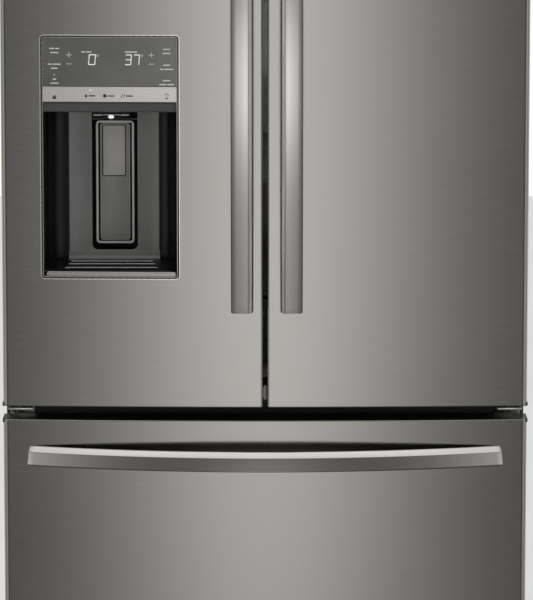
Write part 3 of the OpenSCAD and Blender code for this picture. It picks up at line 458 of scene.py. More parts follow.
def ring_sweep(name, rect, radius, profile, y_of, longest=1000.0, corner_steps=7):
    """Sweeps a closed profile of (inward offset, height) round a rounded rectangle.
    y_of(x, height) gives y. Offsets larger than the corner radius keep mitred corners."""
    path = divided(rounded_rect(*rect, radius, corner_steps), longest)
    count = len(profile)
    verts, faces = [], []
    x0, x1, z0, z1 = rect
    for x, z, nx, nz in path:
        for offset, height in profile:
            if offset <= radius:
                px, pz = x + nx * offset, z + nz * offset
            else:
                # past the corner's centre the path is the smaller rectangle's
                px = min(max(x + nx * radius, x0 + offset), x1 - offset)
                pz = min(max(z + nz * radius, z0 + offset), z1 - offset)
            verts.append((px, y_of(px, height), pz))
    loops = len(path)
    for i in range(loops):
        for j in range(count):
            a, b = i * count + j, i * count + (j + 1) % count
            c, d = ((i + 1) % loops) * count + (j + 1) % count, ((i + 1) % loops) * count + j
            faces.append((a, b, c, d))
    mesh = mesh_from(name, verts, faces)
    outwards(mesh, merge=1e-6)
    return new_object(name, mesh)


def sweep(name, section, stations):
    """Sweeps a closed section of (a, b) along stations of (origin, axis a, axis b, inset)."""
    count = len(section)
    ca = sum(a for a, _ in section) / count
    cb = sum(b for _, b in section) / count
    verts = []
    for origin, axis_a, axis_b, inset in stations:
        for a, b in section:
            length = max(math.hypot(a - ca, b - cb), 1e-6)
            k = max(0.0, 1 - inset / length)
            a2, b2 = ca + (a - ca) * k, cb + (b - cb) * k
            verts.append(tuple(Vector(origin) + Vector(axis_a) * a2 + Vector(axis_b) * b2))
    faces = []
    for i in range(len(stations) - 1):
        for j in range(count):
            k = (j + 1) % count
            faces.append((i * count + j, i * count + k, (i + 1) * count + k, (i + 1) * count + j))
    faces.append(tuple(range(count)))
    faces.append(tuple(reversed(range((len(stations) - 1) * count, len(stations) * count))))
    obj = new_object(name, mesh_from(name, verts, faces))
    outwards(obj.data)
    return obj


def joined(name, objects):
    """Joins the meshes of several objects into one new object."""
    bm = bmesh.new()
    for obj in objects:
        bm.from_mesh(obj.data)
        bpy.data.objects.remove(obj)
    mesh = bpy.data.meshes.new(name)
    bm.to_mesh(mesh)
    bm.free()
    return new_object(name, mesh)


def lathe(name, profile, centre, axis, steps):
    """Turns (radius, along) points round an axis, 0 to 2, through centre."""
    other = [i for i in range(3) if i != axis]
    verts, faces = [], []
    for i in range(steps):
        a = 2 * math.pi * i / steps
        for radius, along in profile:
            p = list(centre)
            p[axis] += along
            p[other[0]] += radius * math.cos(a)
            p[other[1]] += radius * math.sin(a)
            verts.append(p)
    count = len(profile)
    for i in range(steps):
        for j in range(count - 1):
            a, b = i * count + j, i * count + j + 1
            c, d = ((i + 1) % steps) * count + j + 1, ((i + 1) % steps) * count + j
            faces.append((a, b, c, d))
    mesh = mesh_from(name, verts, faces)
    outwards(mesh, merge=1e-7, fill=True)
    return new_object(name, mesh)


# ---------- doors' and drawer's steel skins ----------


def roll_points(x, side, radius, inset):
    """Points round a panel's rolled edge at x, from its side to its front."""
    steps = 9
    cx = x - side * radius
    cy = ARC_Y - math.sqrt((FRONT_R - radius) ** 2 - cx * cx)
    start, end = side * math.pi / 2, math.asin(cx / (FRONT_R - radius))
    angles = [start + (end - start) * i / steps for i in range(steps + 1)]
    reach = radius - inset
    return [(cx + reach * math.sin(a), cy - reach * math.cos(a)) for a in angles]


def outline(x0, x1, r0, r1, back, inset, xs):
    left = roll_points(x0, -1, r0, inset)
    right = roll_points(x1, 1, r1, inset)
    front = [(x, front_y(x, -inset)) for x in xs]
    return [(x0 + inset, back)] + left + front + right[::-1] + [(x1 - inset, back)]


def steps_between(a, b, longest):
    count = max(1, math.ceil((b - a) / longest))
    return [a + (b - a) * i / count for i in range(1, count)]


def steel_skin(name, x0, x1, r0, r1, z0, z1, body, node, steel, hole=None):
    """A door's or drawer's skin: convex front, rolled edges, folds and, for hole, an opening."""
    fold = 2.0
    ends = [x0 + r0 + 1.5, x1 - r1 - 1.5]
    cuts = sorted(ends + ([hole[0], hole[1]] if hole else []))
    xs = [cuts[0]]
    for a, b in zip(cuts, cuts[1:]):
        xs += steps_between(a, b, 12) + [b]
    turns = [i * math.pi / 12 for i in range(7)]
    low = [(z0 + fold - fold * math.cos(t), fold - fold * math.sin(t)) for t in turns]
    # a row close to each fold keeps the flat from shading into it
    levels = [z0 + fold + 0.6, z1 - fold - 0.6] + steps_between(z0, z1, 60)
    levels += [hole[2], hole[3]] if hole else []
    middle = [(z, 0.0) for z in sorted(levels)]
    high = [(z1 - (z - z0), inset) for z, inset in reversed(low)]
    rows = low + middle + high
    verts, faces = [], []
    for z, inset in rows:
        verts += [(x, y, z) for x, y in outline(x0, x1, r0, r1, DOOR_BACK, inset, xs)]
    count = len(verts) // len(rows)
    for i in range(len(rows) - 1):
        for j in range(count - 1):
            if hole:
                a, b = verts[i * count + j], verts[(i + 1) * count + j + 1]
                cx, cz = (a[0] + b[0]) / 2, (a[2] + b[2]) / 2
                if hole[0] < cx < hole[1] and hole[2] < cz < hole[3] and a[1] < DOOR_BACK - 30:
                    continue
            near, far = i * count + j, (i + 1) * count + j
            faces.append((near, near + 1, far + 1, far))
    obj = new_object(name, mesh_from(name, verts, faces))
    thicken(obj, SKIN - 0.2)
    place(obj, body, steel, [node], sharp=40)
    return obj


GAP = 4
ROLL, GAP_ROLL = 9, 3
door_low, door_high = mm_box("left_door_skin")
drawer_low, drawer_high = mm_box("drawer_skin")
Z0, Z1 = door_low[2], door_high[2]
D0, D1 = drawer_low[2], drawer_high[2]
disp_low, disp_high = mm_box("dispenser_housing")
show_high = mm_box("dispenser_display")[1]
# the dispenser's opening in the left door, and the gap left round it
DX0, DX1 = disp_low[0] + 2.5, disp_high[0] - 2.5
DZ0, DZ1 = disp_low[2] + 2.5, show_high[2] + 2.2
FIT = 0.3
steel_skin("left_door_front", -HALF_W, -GAP, ROLL, GAP_ROLL, Z0, Z1, "left_door", "left_door_skin",
           BLACK_STEEL, (DX0 - FIT, DX1 + FIT, DZ0 - FIT, DZ1 + FIT))
steel_skin("right_door_front", GAP, HALF_W, GAP_ROLL, ROLL, Z0, Z1, "right_door", "right_door_skin",
           BLACK_STEEL)
steel_skin("drawer_front", -HALF_W, HALF_W, ROLL, ROLL, D0, D1, "freezer_drawer", "drawer_skin",
           DRAWER_STEEL_PAINTED_SHADE)


# ---------- handles ----------

# the bars' depth; at their ends their backs reach the doors' front
BAR = 15
UPRIGHT_CROWN = -435
# sections as (across the bar, depth from its front); the last flat before the far side is cut
UPRIGHT = [
    (0, BAR), (0, 3.2), (0.5, 1.9), (1.3, 1.2), (2.5, 0.95), (9, 0.58), (16, 0.26), (23, 0.07),
    (29.6, 0.0), (30.6, 0.1), (31.5, 0.45), (36, 2.9), (37.2, 4.1), (38, 6.2), (38, BAR),
]
# where the upright section's near side ends and its cut edge starts and ends
SIDE_END, CUT_START, CUT_END = 0.95, 31.2, 36.3
LEVEL = [
    (0, BAR), (0, 3.6), (0.6, 2.2), (1.6, 1.0), (3.0, 0.7), (12, 2.6), (23, 5.0), (23.8, 5.3),
    (24.6, 5.8), (32.0, 13.0), (32.9, 14.0), (33.5, BAR),
]


def bow(length, sag, steps):
    """Stations along a bar bowed by sag, with a small edge break at both ends: each is
    (position, depth behind the crown, slope, inset)."""
    half = length / 2
    radius = (half**2 + sag**2) / (2 * sag)
    inner = [-half + 1.2 + (length - 2.4) * i / steps for i in range(steps + 1)]
    start, end = [(-half, 1.3), (-half + 0.35, 0.55)], [(half - 0.35, 0.55), (half, 1.3)]
    return [(s, radius - math.sqrt(radius**2 - s * s), math.asin(s / radius), inset)
            for s, inset in start + [(s, 0.0) for s in inner] + end]


def upright_handle(name, node, body, mirrored):
    low, high = mm_box(node)
    length = high[2] - low[2]
    middle = (low[2] + high[2]) / 2
    crown, ends = UPRIGHT_CROWN, CROWN_Y - BAR
    x0, across = (high[0], (-1, 0, 0)) if mirrored else (low[0], (1, 0, 0))
    stations = []
    for s, depth, slope, inset in bow(length, ends - crown, 72):
        inwards = (0, math.cos(slope), -math.sin(slope))
        stations.append(((x0, crown + depth, middle + s), across, inwards, inset))
    bar = sweep(name + "_bar", UPRIGHT, stations)

    # painted light by place: 2 paints the bar's sides dark as a dark reflection, 1 paints the
    # front-facing cut edge lighter as a highlight, 0 keeps the plain steel
    def painted_light_and_shade_index(c, n):
        at = (c.x - x0) * across[0]
        if at < SIDE_END or at > CUT_END:
            return 2
        return 1 if CUT_START < at and c.y < ends + BAR and n.y < -0.3 else 0

    keep_material_indices(bar, painted_light_and_shade_index)
    place(bar, body, [HANDLE_UP, HANDLE_FACET_PAINTED_HIGHLIGHT, HANDLE_SIDE_PAINTED_DARK_REFLECTION], [node], sharp=24)
    foot_y = [front_y((low[0] + high[0]) / 2) - 0.4, ends + 9]
    feet = []
    for z in (low[2] + 3, high[2] - 29):
        feet.append(((low[0] + 3, foot_y[1] - 6, z), (high[0] - 3, foot_y[0] + 3, z + 26)))
    obj = soft_boxes(name + "_feet", feet, 2.0)
    place(obj, body, HANDLE_UP)


upright_handle("left_handle", "left_door_handle", "left_door", False)
upright_handle("right_handle", "right_door_handle", "right_door", True)


def level_handle():
    low, high = mm_box("drawer_handle")
    length = high[0] - low[0]
    crown, ends = low[1], front_y(length / 2) - BAR
    stations = []
    for s, depth, slope, inset in bow(length, ends - crown, 96):
        inwards = (-math.sin(slope), math.cos(slope), 0)
        stations.append(((s, crown + depth, low[2]), (0, 0, 1), inwards, inset))
    bar = sweep("drawer_handle_bar", LEVEL, stations)
    place(bar, "freezer_drawer", HANDLE_LEVEL_PAINTED_SHADE, ["drawer_handle"], sharp=24)
    feet = []
    for side in (-1, 1):
        x = side * (length / 2 - 15)
        feet.append(((x - 12, ends + 9, low[2] + 3), (x + 12, front_y(x) + 3, high[2] - 3)))
    obj = soft_boxes("drawer_handle_feet", feet, 2.0)
    place(obj, "freezer_drawer", HANDLE_LEVEL_PAINTED_SHADE)


level_handle()

# ---------- dispenser ----------


def dispenser_piece(obj, material, stands_for=(), sharp=None):
    place(obj, "left_door", material, stands_for, sharp)


def paddle_piece(obj, material, stands_for=(), sharp=None):
    place(obj, "dispenser_paddle", material, stands_for, sharp)


# the bezel's outer edge (left, right, bottom, top), the ring's width and corner radius
RIM = (DX0 - 0.4, DX1 + 2.5, DZ0 - 2.5, DZ1 + 2.5)
RING = 5.5
RING_RADIUS = 7


def bezel_ring(name, profile, material, stands_for=()):
    ring = ring_sweep(name, RIM, RING_RADIUS, profile, lambda x, h: front_y(x, h), longest=12)
    dispenser_piece(ring, material, stands_for, sharp=20)


BEZEL = [(1.7, -2.0), (1.7, 0.0), (4.1, 0.0), (4.1, -3.0), (2.6, -3.0)]
OUTER_LINE = [(0, -0.6), (0, 0.3), (0.1, 0.4), (1.6, 0.4), (1.7, 0.3), (1.7, -0.6)]
INNER_LINE = [(4.1, -2.0), (4.1, 0.5), (4.2, 0.6), (5.2, 0.6), (5.4, 0.4), (5.4, -2.0)]
bezel_ring("bezel_outer_line", OUTER_LINE, BEZEL_LINE)
bezel_ring("dispenser_bezel", BEZEL, BLACK_PLASTIC, ["dispenser_housing"])
bezel_ring("bezel_inner_line", INNER_LINE, TRAY_SILVER)


def curved_plate(name, x0, x1, z0, z1, out, thick, edge=0.6, radius=0.0):
    """A plate standing out from the front arc, with softened edges and rounded corners."""
    xs = [x0, x0 + edge] + steps_between(x0 + edge, x1 - edge, 8) + [x1 - edge, x1]
    if radius:
        bend = [radius * (1 - math.cos(math.radians(15 * i))) for i in range(1, 7)]
        xs = sorted(set(xs + [x0 + b for b in bend] + [x1 - b for b in bend]))
        xs = [x for i, x in enumerate(xs) if i == 0 or x - xs[i - 1] > 0.05]
    rows = []
    for x in xs:
        side = min(x - x0, x1 - x)
        cut = 0.0
        if side < radius:
            cut = radius - math.sqrt(max(0.0, radius**2 - (radius - side) ** 2))
        low, high = z0 + cut, z1 - cut
        middle = [low + edge + (high - low - 2 * edge) * i / 4 for i in range(5)]
        levels = [(low, edge), (low + edge * 0.3, edge * 0.3)] + [(z, 0.0) for z in middle]
        levels += [(high - edge * 0.3, edge * 0.3), (high, edge)]
        drop = edge * 0.8 * max(0.0, 1 - side / edge)
        rows.append([(x, front_y(x, out) + max(sink, drop), z) for z, sink in levels])
    n, m = len(rows[0]), len(rows)
    verts = [v for row in rows for v in row]
    verts += [(x, front_y(x, out) + thick, z) for row in rows for x, _, z in row]
    back = n * m
    faces = []
    for i in range(m - 1):
        for j in range(n - 1):
            a, b, c, d = i * n + j, (i + 1) * n + j, (i + 1) * n + j + 1, i * n + j + 1
            faces += [(a, b, c, d), (back + d, back + c, back + b, back + a)]
    rim = [i * n for i in range(m)] + [(m - 1) * n + j for j in range(1, n)]
    rim += [i * n + n - 1 for i in range(m - 2, -1, -1)] + [j for j in range(n - 2, 0, -1)]
    faces += [(a, back + a, back + b, b) for a, b in zip(rim, rim[1:] + rim[:1])]
    obj = new_object(name, mesh_from(name, verts, faces))
    outwards(obj.data)
    return obj


# inside the ring: its left and right, then bottom and top of the key strip and of the cavity
SHOW = (RIM[0] + RING, RIM[1] - RING)
STRIP = (1231.3, 1257.6)
CAVITY = (940, 1213)
show_rect = *SHOW, STRIP[1] + 0.3, RIM[3] - RING
glass = curved_plate("dispenser_display_panel", *show_rect, 0.9, 4, radius=2.4)
place(glass, "left_door", DISPLAY_GLASS_PAINTED_REFLECTION, ["dispenser_display"], sharp=15)
strip = curved_plate("dispenser_key_strip", *SHOW, *STRIP, 1.2, 3, edge=0.5)
place(strip, "left_door", SILVER_TRIM, sharp=15)
lintel = curved_plate("dispenser_lintel", *SHOW, CAVITY[1] + 1, STRIP[0] - 0.3, -0.6, 6, edge=1.5)
dispenser_piece(lintel, LINTEL_GREY, sharp=50)

# the cavity's walls: the back's depth, the sides, their turns into the back and their knee
BACK = -263
WALL_L, WALL_R = SHOW[0] + 0.3, SHOW[1] - 0.3
LEFT_TURN, RIGHT_TURN, TURN_DEEP = 42, 34, 36
KNEE_Y = -330
# the stretch of the back wall painted grey as lit, where the side walls keep the gloss black as
# their shade
PAINTED_LIGHT_L, PAINTED_LIGHT_R = WALL_L + 38.5, WALL_R - 31.5


def niche_plan(inset=0.0, start=None, back=BACK):
    """The cavity's plan from its front left edge round to its front right edge."""
    left, right = WALL_L + 2.5, WALL_R - 2.5
    starts = (start, start) if start is not None else (front_y(WALL_L) + 0.4, front_y(WALL_R) + 0.4)
    points = [(WALL_L + inset, starts[0]), (left - 0.8 + inset, KNEE_Y)]
    for i in range(15):
        a = math.radians(90 * i / 14)
        points.append((left + LEFT_TURN - (LEFT_TURN - inset) * math.cos(a),
                       back - TURN_DEEP + (TURN_DEEP - inset) * math.sin(a)))
    for i in range(15):
        a = math.radians(90 - 90 * i / 14)
        points.append((right - RIGHT_TURN + (RIGHT_TURN - inset) * math.cos(a),
                       back - TURN_DEEP + (TURN_DEEP - inset) * math.sin(a)))
    return points + [(right + 0.8 - inset, KNEE_Y), (WALL_R - inset, starts[1])]


# the recess behind the paddle: left, right, bottom; its corners and depth; the wall's foot
RECESS = (-300.4, -222.6, 965)
RECESS_RADIUS = 9
DEEP = 22
COVE = 20


def recess_path(grow):
    """The recess's edge: down its left, round its two lower corners and up its right."""
    x0, x1, z0 = RECESS[0] - grow, RECESS[1] + grow, RECESS[2] - grow
    radius = RECESS_RADIUS + grow
    path = [(x0, CAVITY[1])]
    for cx, start in ((x0 + radius, 180), (x1 - radius, 270)):
        for i in range(9):
            a = math.radians(start + 90 * i / 8)
            path.append((cx + radius * math.cos(a), z0 + radius + radius * math.sin(a)))
    return path + [(x1, CAVITY[1])]


def niche():
    plan = niche_plan()
    wall = plan[:17], plan[17:]
    verts, faces = [], []
    for part in wall:
        base = len(verts)
        for z in CAVITY:
            verts += [(x, y, z) for x, y in part]
        n = len(part)
        faces += [(base + j, base + j + 1, base + n + j + 1, base + n + j) for j in range(n - 1)]
    # the flat back wall round the recess
    hole = recess_path(1.6)
    base = len(verts)
    back = [(wall[0][-1][0], CAVITY[0]), (wall[1][0][0], CAVITY[0]), (wall[1][0][0], CAVITY[1])]
    back += hole[::-1] + [(wall[0][-1][0], CAVITY[1])]
    verts += [(x, BACK, z) for x, z in back]
    faces.append(tuple(range(base, len(verts))))
    # the recess: a rounded lip, its walls and its back
    rings = [(1.6, 0), (0.7, 0.35), (0.2, 1.0), (0.0, 2.0), (0.0, DEEP)]
    n = len(recess_path(0))
    for k, (grow, depth) in enumerate(rings):
        base = len(verts)
        verts += [(x, BACK + depth, z) for x, z in recess_path(grow)]
        if k:
            last = base - n
            faces += [(last + j, last + j + 1, base + j + 1, base + j) for j in range(n - 1)]
    faces.append(tuple(range(base, base + n)))
    obj = new_object("dispenser_niche", mesh_from("dispenser_niche", verts, faces))
    bm = bmesh.new()
    bm.from_mesh(obj.data)
    bmesh.ops.remove_doubles(bm, verts=bm.verts, dist=1e-6)
    bmesh.ops.recalc_face_normals(bm, faces=bm.faces)
    bm.faces.ensure_lookup_table()
    widest = max(bm.faces, key=lambda f: len(f.verts) if abs(f.normal.y) > 0.9 else 0)
    if widest.normal.y > 0:
        bmesh.ops.reverse_faces(bm, faces=bm.faces)
    bm.to_mesh(obj.data)
    bm.free()
    thicken(obj, 1.6)

    # painted light and shade: the recess behind the paddle is painted near-black as shadow, the
    # back wall's middle is painted grey as lit, and the rest stays gloss black
    def painted_light_and_shade_index(c, _):
        if RECESS[0] - 1 < c.x < RECESS[1] + 1 and c.y > BACK + 0.6:
            return 2
        return 1 if PAINTED_LIGHT_L < c.x < PAINTED_LIGHT_R and c.y < BACK + 0.3 else 0

    keep_material_indices(obj, painted_light_and_shade_index)
    dispenser_piece(obj, [GLOSS_BLACK, NICHE_BACK_PAINTED_LIGHT, MATTE_BLACK_AND_PAINTED_SHADE], sharp=55)


niche()
# the back wall's foot curves forward, painted grey as lit like the back wall
turns = [math.radians(7.5 * i) for i in range(11)]
foot_y, foot_z = BACK - 0.2 - COVE, CAVITY[0] + 22
foot = [(foot_y + COVE * math.cos(a), foot_z - COVE * math.sin(a)) for a in turns]
foot_verts = [(x, y, z) for x in (PAINTED_LIGHT_L, PAINTED_LIGHT_R) for y, z in foot]
foot_faces = [(i, i + 1, len(foot) + i + 1, len(foot) + i) for i in range(len(foot) - 1)]
cove = new_object("dispenser_cove", mesh_from("dispenser_cove", foot_verts, foot_faces))
thicken(cove, 1.0, 1.0)
dispenser_piece(cove, NICHE_BACK_PAINTED_LIGHT, sharp=50)

# the chute's mouth: left, right, front and rear
MOUTH = (-297.4, -230.6, -327, -269.5)
CHUTE_Z = (1216, 1480)
CEILING_Y = (front_y(WALL_L) + 4, BACK + 0.5)
ceiling = soft_boxes("dispenser_ceiling", [
    ((WALL_L, CEILING_Y[0], CAVITY[1]), (MOUTH[0], CEILING_Y[1], CAVITY[1] + 3)),
    ((MOUTH[1], CEILING_Y[0], CAVITY[1]), (WALL_R, CEILING_Y[1], CAVITY[1] + 3)),
    ((MOUTH[0], CEILING_Y[0], CAVITY[1]), (MOUTH[1], MOUTH[2], CAVITY[1] + 3)),
    ((MOUTH[0], MOUTH[3], CAVITY[1]), (MOUTH[1], CEILING_Y[1], CAVITY[1] + 3)),
], 0.3)
dispenser_piece(ceiling, MATTE_BLACK_AND_PAINTED_SHADE)
floor_box = (WALL_L, CEILING_Y[0], CAVITY[0] - 3), (WALL_R, BACK, CAVITY[0])
floor_plate = soft_boxes("dispenser_floor", [floor_box], 0.5)
dispenser_piece(floor_plate, GLOSS_BLACK)
CHUTE = [
    ((MOUTH[0] - 3, MOUTH[2] - 3, CHUTE_Z[0]), (MOUTH[0], MOUTH[3] + 3, CHUTE_Z[1])),
    ((MOUTH[1], MOUTH[2] - 3, CHUTE_Z[0]), (MOUTH[1] + 3, MOUTH[3] + 3, CHUTE_Z[1])),
    ((MOUTH[0], MOUTH[2] - 3, CHUTE_Z[0]), (MOUTH[1], MOUTH[2], CHUTE_Z[1])),
    ((MOUTH[0], MOUTH[3], CHUTE_Z[0]), (MOUTH[1], MOUTH[3] + 3, 1418)),
    ((MOUTH[0] - 3, MOUTH[2] - 3, CHUTE_Z[1]), (MOUTH[1] + 3, MOUTH[3] + 3, CHUTE_Z[1] + 3)),
]
dispenser_piece(soft_boxes("dispenser_chute", CHUTE, 0.4), BLACK_PLASTIC)

# nozzle: a bar of three segments, a tapered spout and a lamp in front of it
NOZZLE_X = -264.6
SEGMENT_STEP = 20.6
SEGMENT = [(0, -9.8), (1.9, -9.8), (2.4, -9.2), (2.4, 9.2), (1.9, 9.8), (0, 9.8)]
SPOUT = [(0, 0), (6, 0), (6.2, -4), (4.8, -9), (4.2, -15), (3.2, -15), (3.0, -5), (0, -5)]
LAMP = [(0, 0), (5.0, 0), (4.7, -1.3), (3.2, -2.4), (0, -2.9)]
centres = [(NOZZLE_X + k * SEGMENT_STEP, -339, 1207.4) for k in (-1, 0, 1)]
segments = [lathe("segment", SEGMENT, centre, 0, 20) for centre in centres]
place(joined("nozzle_bar", segments), "left_door", SILVER_TRIM, sharp=40)
holder = soft_boxes("nozzle_holder", [
    ((NOZZLE_X - 31, -337, 1203), (NOZZLE_X + 31, -326, 1212.9)),
    ((NOZZLE_X - 17, -345, 1199.6), (NOZZLE_X - 6.4, -328, 1204.6)),
    ((NOZZLE_X + 6.4, -345, 1199.6), (NOZZLE_X + 17, -328, 1204.6)),
], 1.6)
dispenser_piece(holder, BLACK_PLASTIC)
spout = lathe("nozzle_spout", SPOUT, (NOZZLE_X, -328, 1212), 2, 32)
dispenser_piece(spout, PADDLE_GREY, sharp=40)
lamp = lathe("nozzle_lamp", LAMP, (NOZZLE_X, -342, 1204.2), 2, 32)
place(lamp, "left_door", LAMP_WHITE, sharp=60)

# paddle: a frame, a panel and an inset pad


def rounded_plate(name, rect, radius, y0, y1, edge):
    """An upright plate with rounded corners and a softened face at y0."""
    layers = [(0.0, y1), (0.0, y0 + edge), (edge * 0.3, y0 + edge * 0.3), (edge, y0)]
    path = rounded_rect(*rect, radius, 6)
    verts, faces = [], []
    for offset, y in layers:
        verts += [(x + nx * offset, y, z + nz * offset) for x, z, nx, nz in path]
    n = len(path)
    for i in range(len(layers) - 1):
        a, b = i * n, (i + 1) * n
        faces += [(a + j, a + (j + 1) % n, b + (j + 1) % n, b + j) for j in range(n)]
    faces += [tuple(range(n)), tuple(range(3 * n, 4 * n))]
    obj = new_object(name, mesh_from(name, verts, faces))
    outwards(obj.data)
    return obj


def flat_ring(name, rect, radius, wide, y0, y1, material):
    section = [(0, y1), (0, y0 + 0.7), (0.6, y0), (wide - 0.6, y0), (wide, y0 + 0.7), (wide, y1)]
    ring = ring_sweep(name, rect, radius, section, lambda x, h: h)
    paddle_piece(ring, material, sharp=35)


# each as left, right, bottom and top
FRAME = (-294.2, -227.6, 975, 1190.2)
BACKING = (-292.5, -229.3, 976.7, 1188.5)
PANEL = (-286.6, -235.0, 981, 1185)
PAD = (-281.6, -243.6, 1094.5, 1181.6)
GROOVE = (PAD[0] - 2.1, PAD[1] + 2.1, PAD[2] - 2.1, PAD[3] + 1.2)
flat_ring("paddle_frame", FRAME, 7, 4.2, -262, -257.5, FRAME_GREY_AND_EDGE_HIGHLIGHT)
# the backing shows in the gap round the panel, painted near-black as shade
backing = rounded_plate("paddle_backing", BACKING, 5, -258.6, -256.6, 0.4)
paddle_piece(backing, MATTE_BLACK_AND_PAINTED_SHADE, sharp=30)
panel = rounded_plate("paddle_plate", PANEL, 4.5, -261.6, -258, 1.0)
# the panel's tilted bevel faces get the lighter grey: painted edge highlight
keep_material_indices(panel, lambda c, n: 1 if 0.2 < abs(n.y) < 0.98 else 0)
panel_and_painted_edge_highlight = [PANEL_GREY, FRAME_GREY_AND_EDGE_HIGHLIGHT]
paddle_piece(panel, panel_and_painted_edge_highlight, ["dispenser_paddle"], sharp=30)
# the groove round the pad is painted near-black as shadow
flat_ring("paddle_groove", GROOVE, 3.4, 2.1, -261.9, -261, MATTE_BLACK_AND_PAINTED_SHADE)
pad = rounded_plate("paddle_pad", PAD, 2.2, -262.6, -261, 0.9)
paddle_piece(pad, PAD_GREY, sharp=30)
pin = lathe("paddle_pin", [(0, -42), (2, -42), (2, 42), (0, 42)], (-264, -256.5, 1192.6), 0, 20)
paddle_piece(pin, PADDLE_GREY, sharp=40)


# drip tray: a black dish with raised ribs and a silver lip
def drip_tray():
    rear = -280.5
    plan = niche_plan(inset=1.4, start=front_y(WALL_L) + 1.5, back=rear + 1.4)
    rear_z, front_z = 950.2, 941.6
    front_edge = front_y(WALL_L)

    def top(y):
        return front_z + (rear_z - front_z) * (y - front_edge) / (rear - front_edge)

    arc = [(x, front_y(x) + 1.5) for x in steps_between(plan[0][0], plan[-1][0], 12)]
    edge = plan + arc[::-1]
    verts = [(x, y, 940.4) for x, y in edge] + [(x, y, top(y) - 1.6) for x, y in edge]
    n = len(edge)
    faces = [(j, (j + 1) % n, n + (j + 1) % n, n + j) for j in range(n)]
    faces += [tuple(range(n)), tuple(range(n, 2 * n))]
    dish = new_object("drip_tray_dish", mesh_from("drip_tray_dish", verts, faces))
    outwards(dish.data)
    place(dish, "drip_tray", GLOSS_BLACK, ["drip_tray"], sharp=30)
    light, dark = [], []
    for i in range(10):
        y = front_edge + 8 + i * 6.6
        left, right = WALL_L + 34 + i * 1.2, WALL_R - 32 - i * 1.2
        z = top(y)
        ribs = light if i in (1, 5, 8) else dark
        ribs.append(((left, y - 1.4, z - 2.0), (right, y + 1.4, z + 0.5)))
    place(soft_boxes("drip_tray_ribs", light, 0.6), "drip_tray", SILVER_TRIM)
    place(soft_boxes("drip_tray_slats", dark, 0.6), "drip_tray", GLOSS_BLACK)
    lip_rect = SHOW[0] + 4.2, SHOW[1] - 1.6, DZ0 + 1.9, 938.4
    lip = curved_plate("drip_tray_lip", *lip_rect, 0.9, 6, edge=1.6, radius=4)
    place(lip, "drip_tray", TRAY_SILVER, sharp=50)


drip_tray()

# ---------- what the display shows ----------


class Marks:
    """Thin shapes lying on the curved front, collected into one piece."""

    def __init__(self, out):
        self.out, self.verts, self.faces = out, [], []

    def shape(self, points):
        base, n = len(self.verts), len(points)
        for out in (self.out, self.out - 0.5):
            self.verts += [(x, front_y(x, out), z) for x, z in points]
        self.faces += [tuple(range(base, base + n)), tuple(reversed(range(base + n, base + 2 * n)))]
        for j in range(n):
            a, b = base + j, base + (j + 1) % n
            self.faces.append((a, a + n, b + n, b))

    def rect(self, x0, x1, z0, z1):
        self.shape([(x0, z0), (x1, z0), (x1, z1), (x0, z1)])

    def disc(self, x, z, r):
        turns = [math.pi * i / 7 for i in range(14)]
        self.shape([(x + r * math.cos(a), z + r * math.sin(a)) for a in turns])

    def ring(self, x, z, r, wide, start=0, end=360, steps=18):
        for i in range(steps):
            a = math.radians(start + (end - start) * i / steps)
            b = math.radians(start + (end - start) * (i + 1) / steps)
            corners = (r, a), (r, b), (r - wide, b), (r - wide, a)
            self.shape([(x + k * math.cos(t), z + k * math.sin(t)) for k, t in corners])

    def label(self, x, z, *lines):
        """Rows of short bars where the real panel has words; each row lists its bars' widths."""
        for i, bars in enumerate(lines):
            at = x - (sum(bars) + 1.5 * (len(bars) - 1)) / 2
            for wide in bars:
                self.rect(at, at + wide, z - 7 * i - 1.0, z - 7 * i + 1.0)
                at += wide + 1.5

    def done(self, name, material):
        obj = new_object(name, mesh_from(name, self.verts, self.faces))
        outwards(obj.data)
        return place(obj, "left_door", material)


SEGMENTS = {"a": 0, "b": 1, "c": 2, "d": 3, "e": 4, "f": 5, "g": 6}
DIGITS = {"0": "abcdef", "3": "abcdg", "7": "abc"}


def seven_segment(marks, digit, x, z, wide, tall):
    """One slanted seven-segment digit; x and z are its lower left corner."""
    t, lean = 1.7, 0.09
    half = tall / 2
    bars = [
        (t * 0.6, wide - t * 0.6, tall - t, tall), (wide - t, wide, half + 0.4, tall - 0.5),
        (wide - t, wide, 0.5, half - 0.4), (t * 0.6, wide - t * 0.6, 0, t), (0, t, 0.5, half - 0.4),
        (0, t, half + 0.4, tall - 0.5), (t * 0.8, wide - t * 0.8, half - t / 2, half + t / 2),
    ]
    for name in DIGITS[digit]:
        x0, x1, z0, z1 = bars[SEGMENTS[name]]
        corners = (x0, z0), (x1, z0), (x1, z1), (x0, z1)
        marks.shape([(x + a + b * lean, z + b) for a, b in corners])


# how far the marks stand out from the arc, on the glass and on the key strip
ON_GLASS, ON_STRIP, LIGHT_OUT = 1.15, 1.42, 1.45
digits = Marks(ON_GLASS)
for digit, x, wide in (("0", -302.9, 12.4), ("3", -240.4, 11.4), ("7", -226.4, 11.2)):
    seven_segment(digits, digit, x, 1294.8, wide, 18.4)
digits.done("display_digits", DIGIT_WHITE)
signs = Marks(ON_GLASS)
for x in (-286.7, -210.6):
    signs.ring(x, 1311.2, 1.9, 0.7)
for x in (-335.4, -194.1):
    signs.rect(x - 4.7, x + 4.7, 1311.5, 1312.5)
    signs.rect(x - 0.5, x + 0.5, 1307.3, 1316.7)
    signs.rect(x - 4.7, x + 4.7, 1296.1, 1297.1)
LEFT_AT, RIGHT_AT = -360.6, -168.3
signs.label(LEFT_AT, 1322.9, (9, 7), (14,))
signs.label(LEFT_AT, 1296.0, (7, 14), (11,))
signs.disc(LEFT_AT, 1277.9, 1.2)
signs.label(LEFT_AT, 1270.4, (6,), (14,))
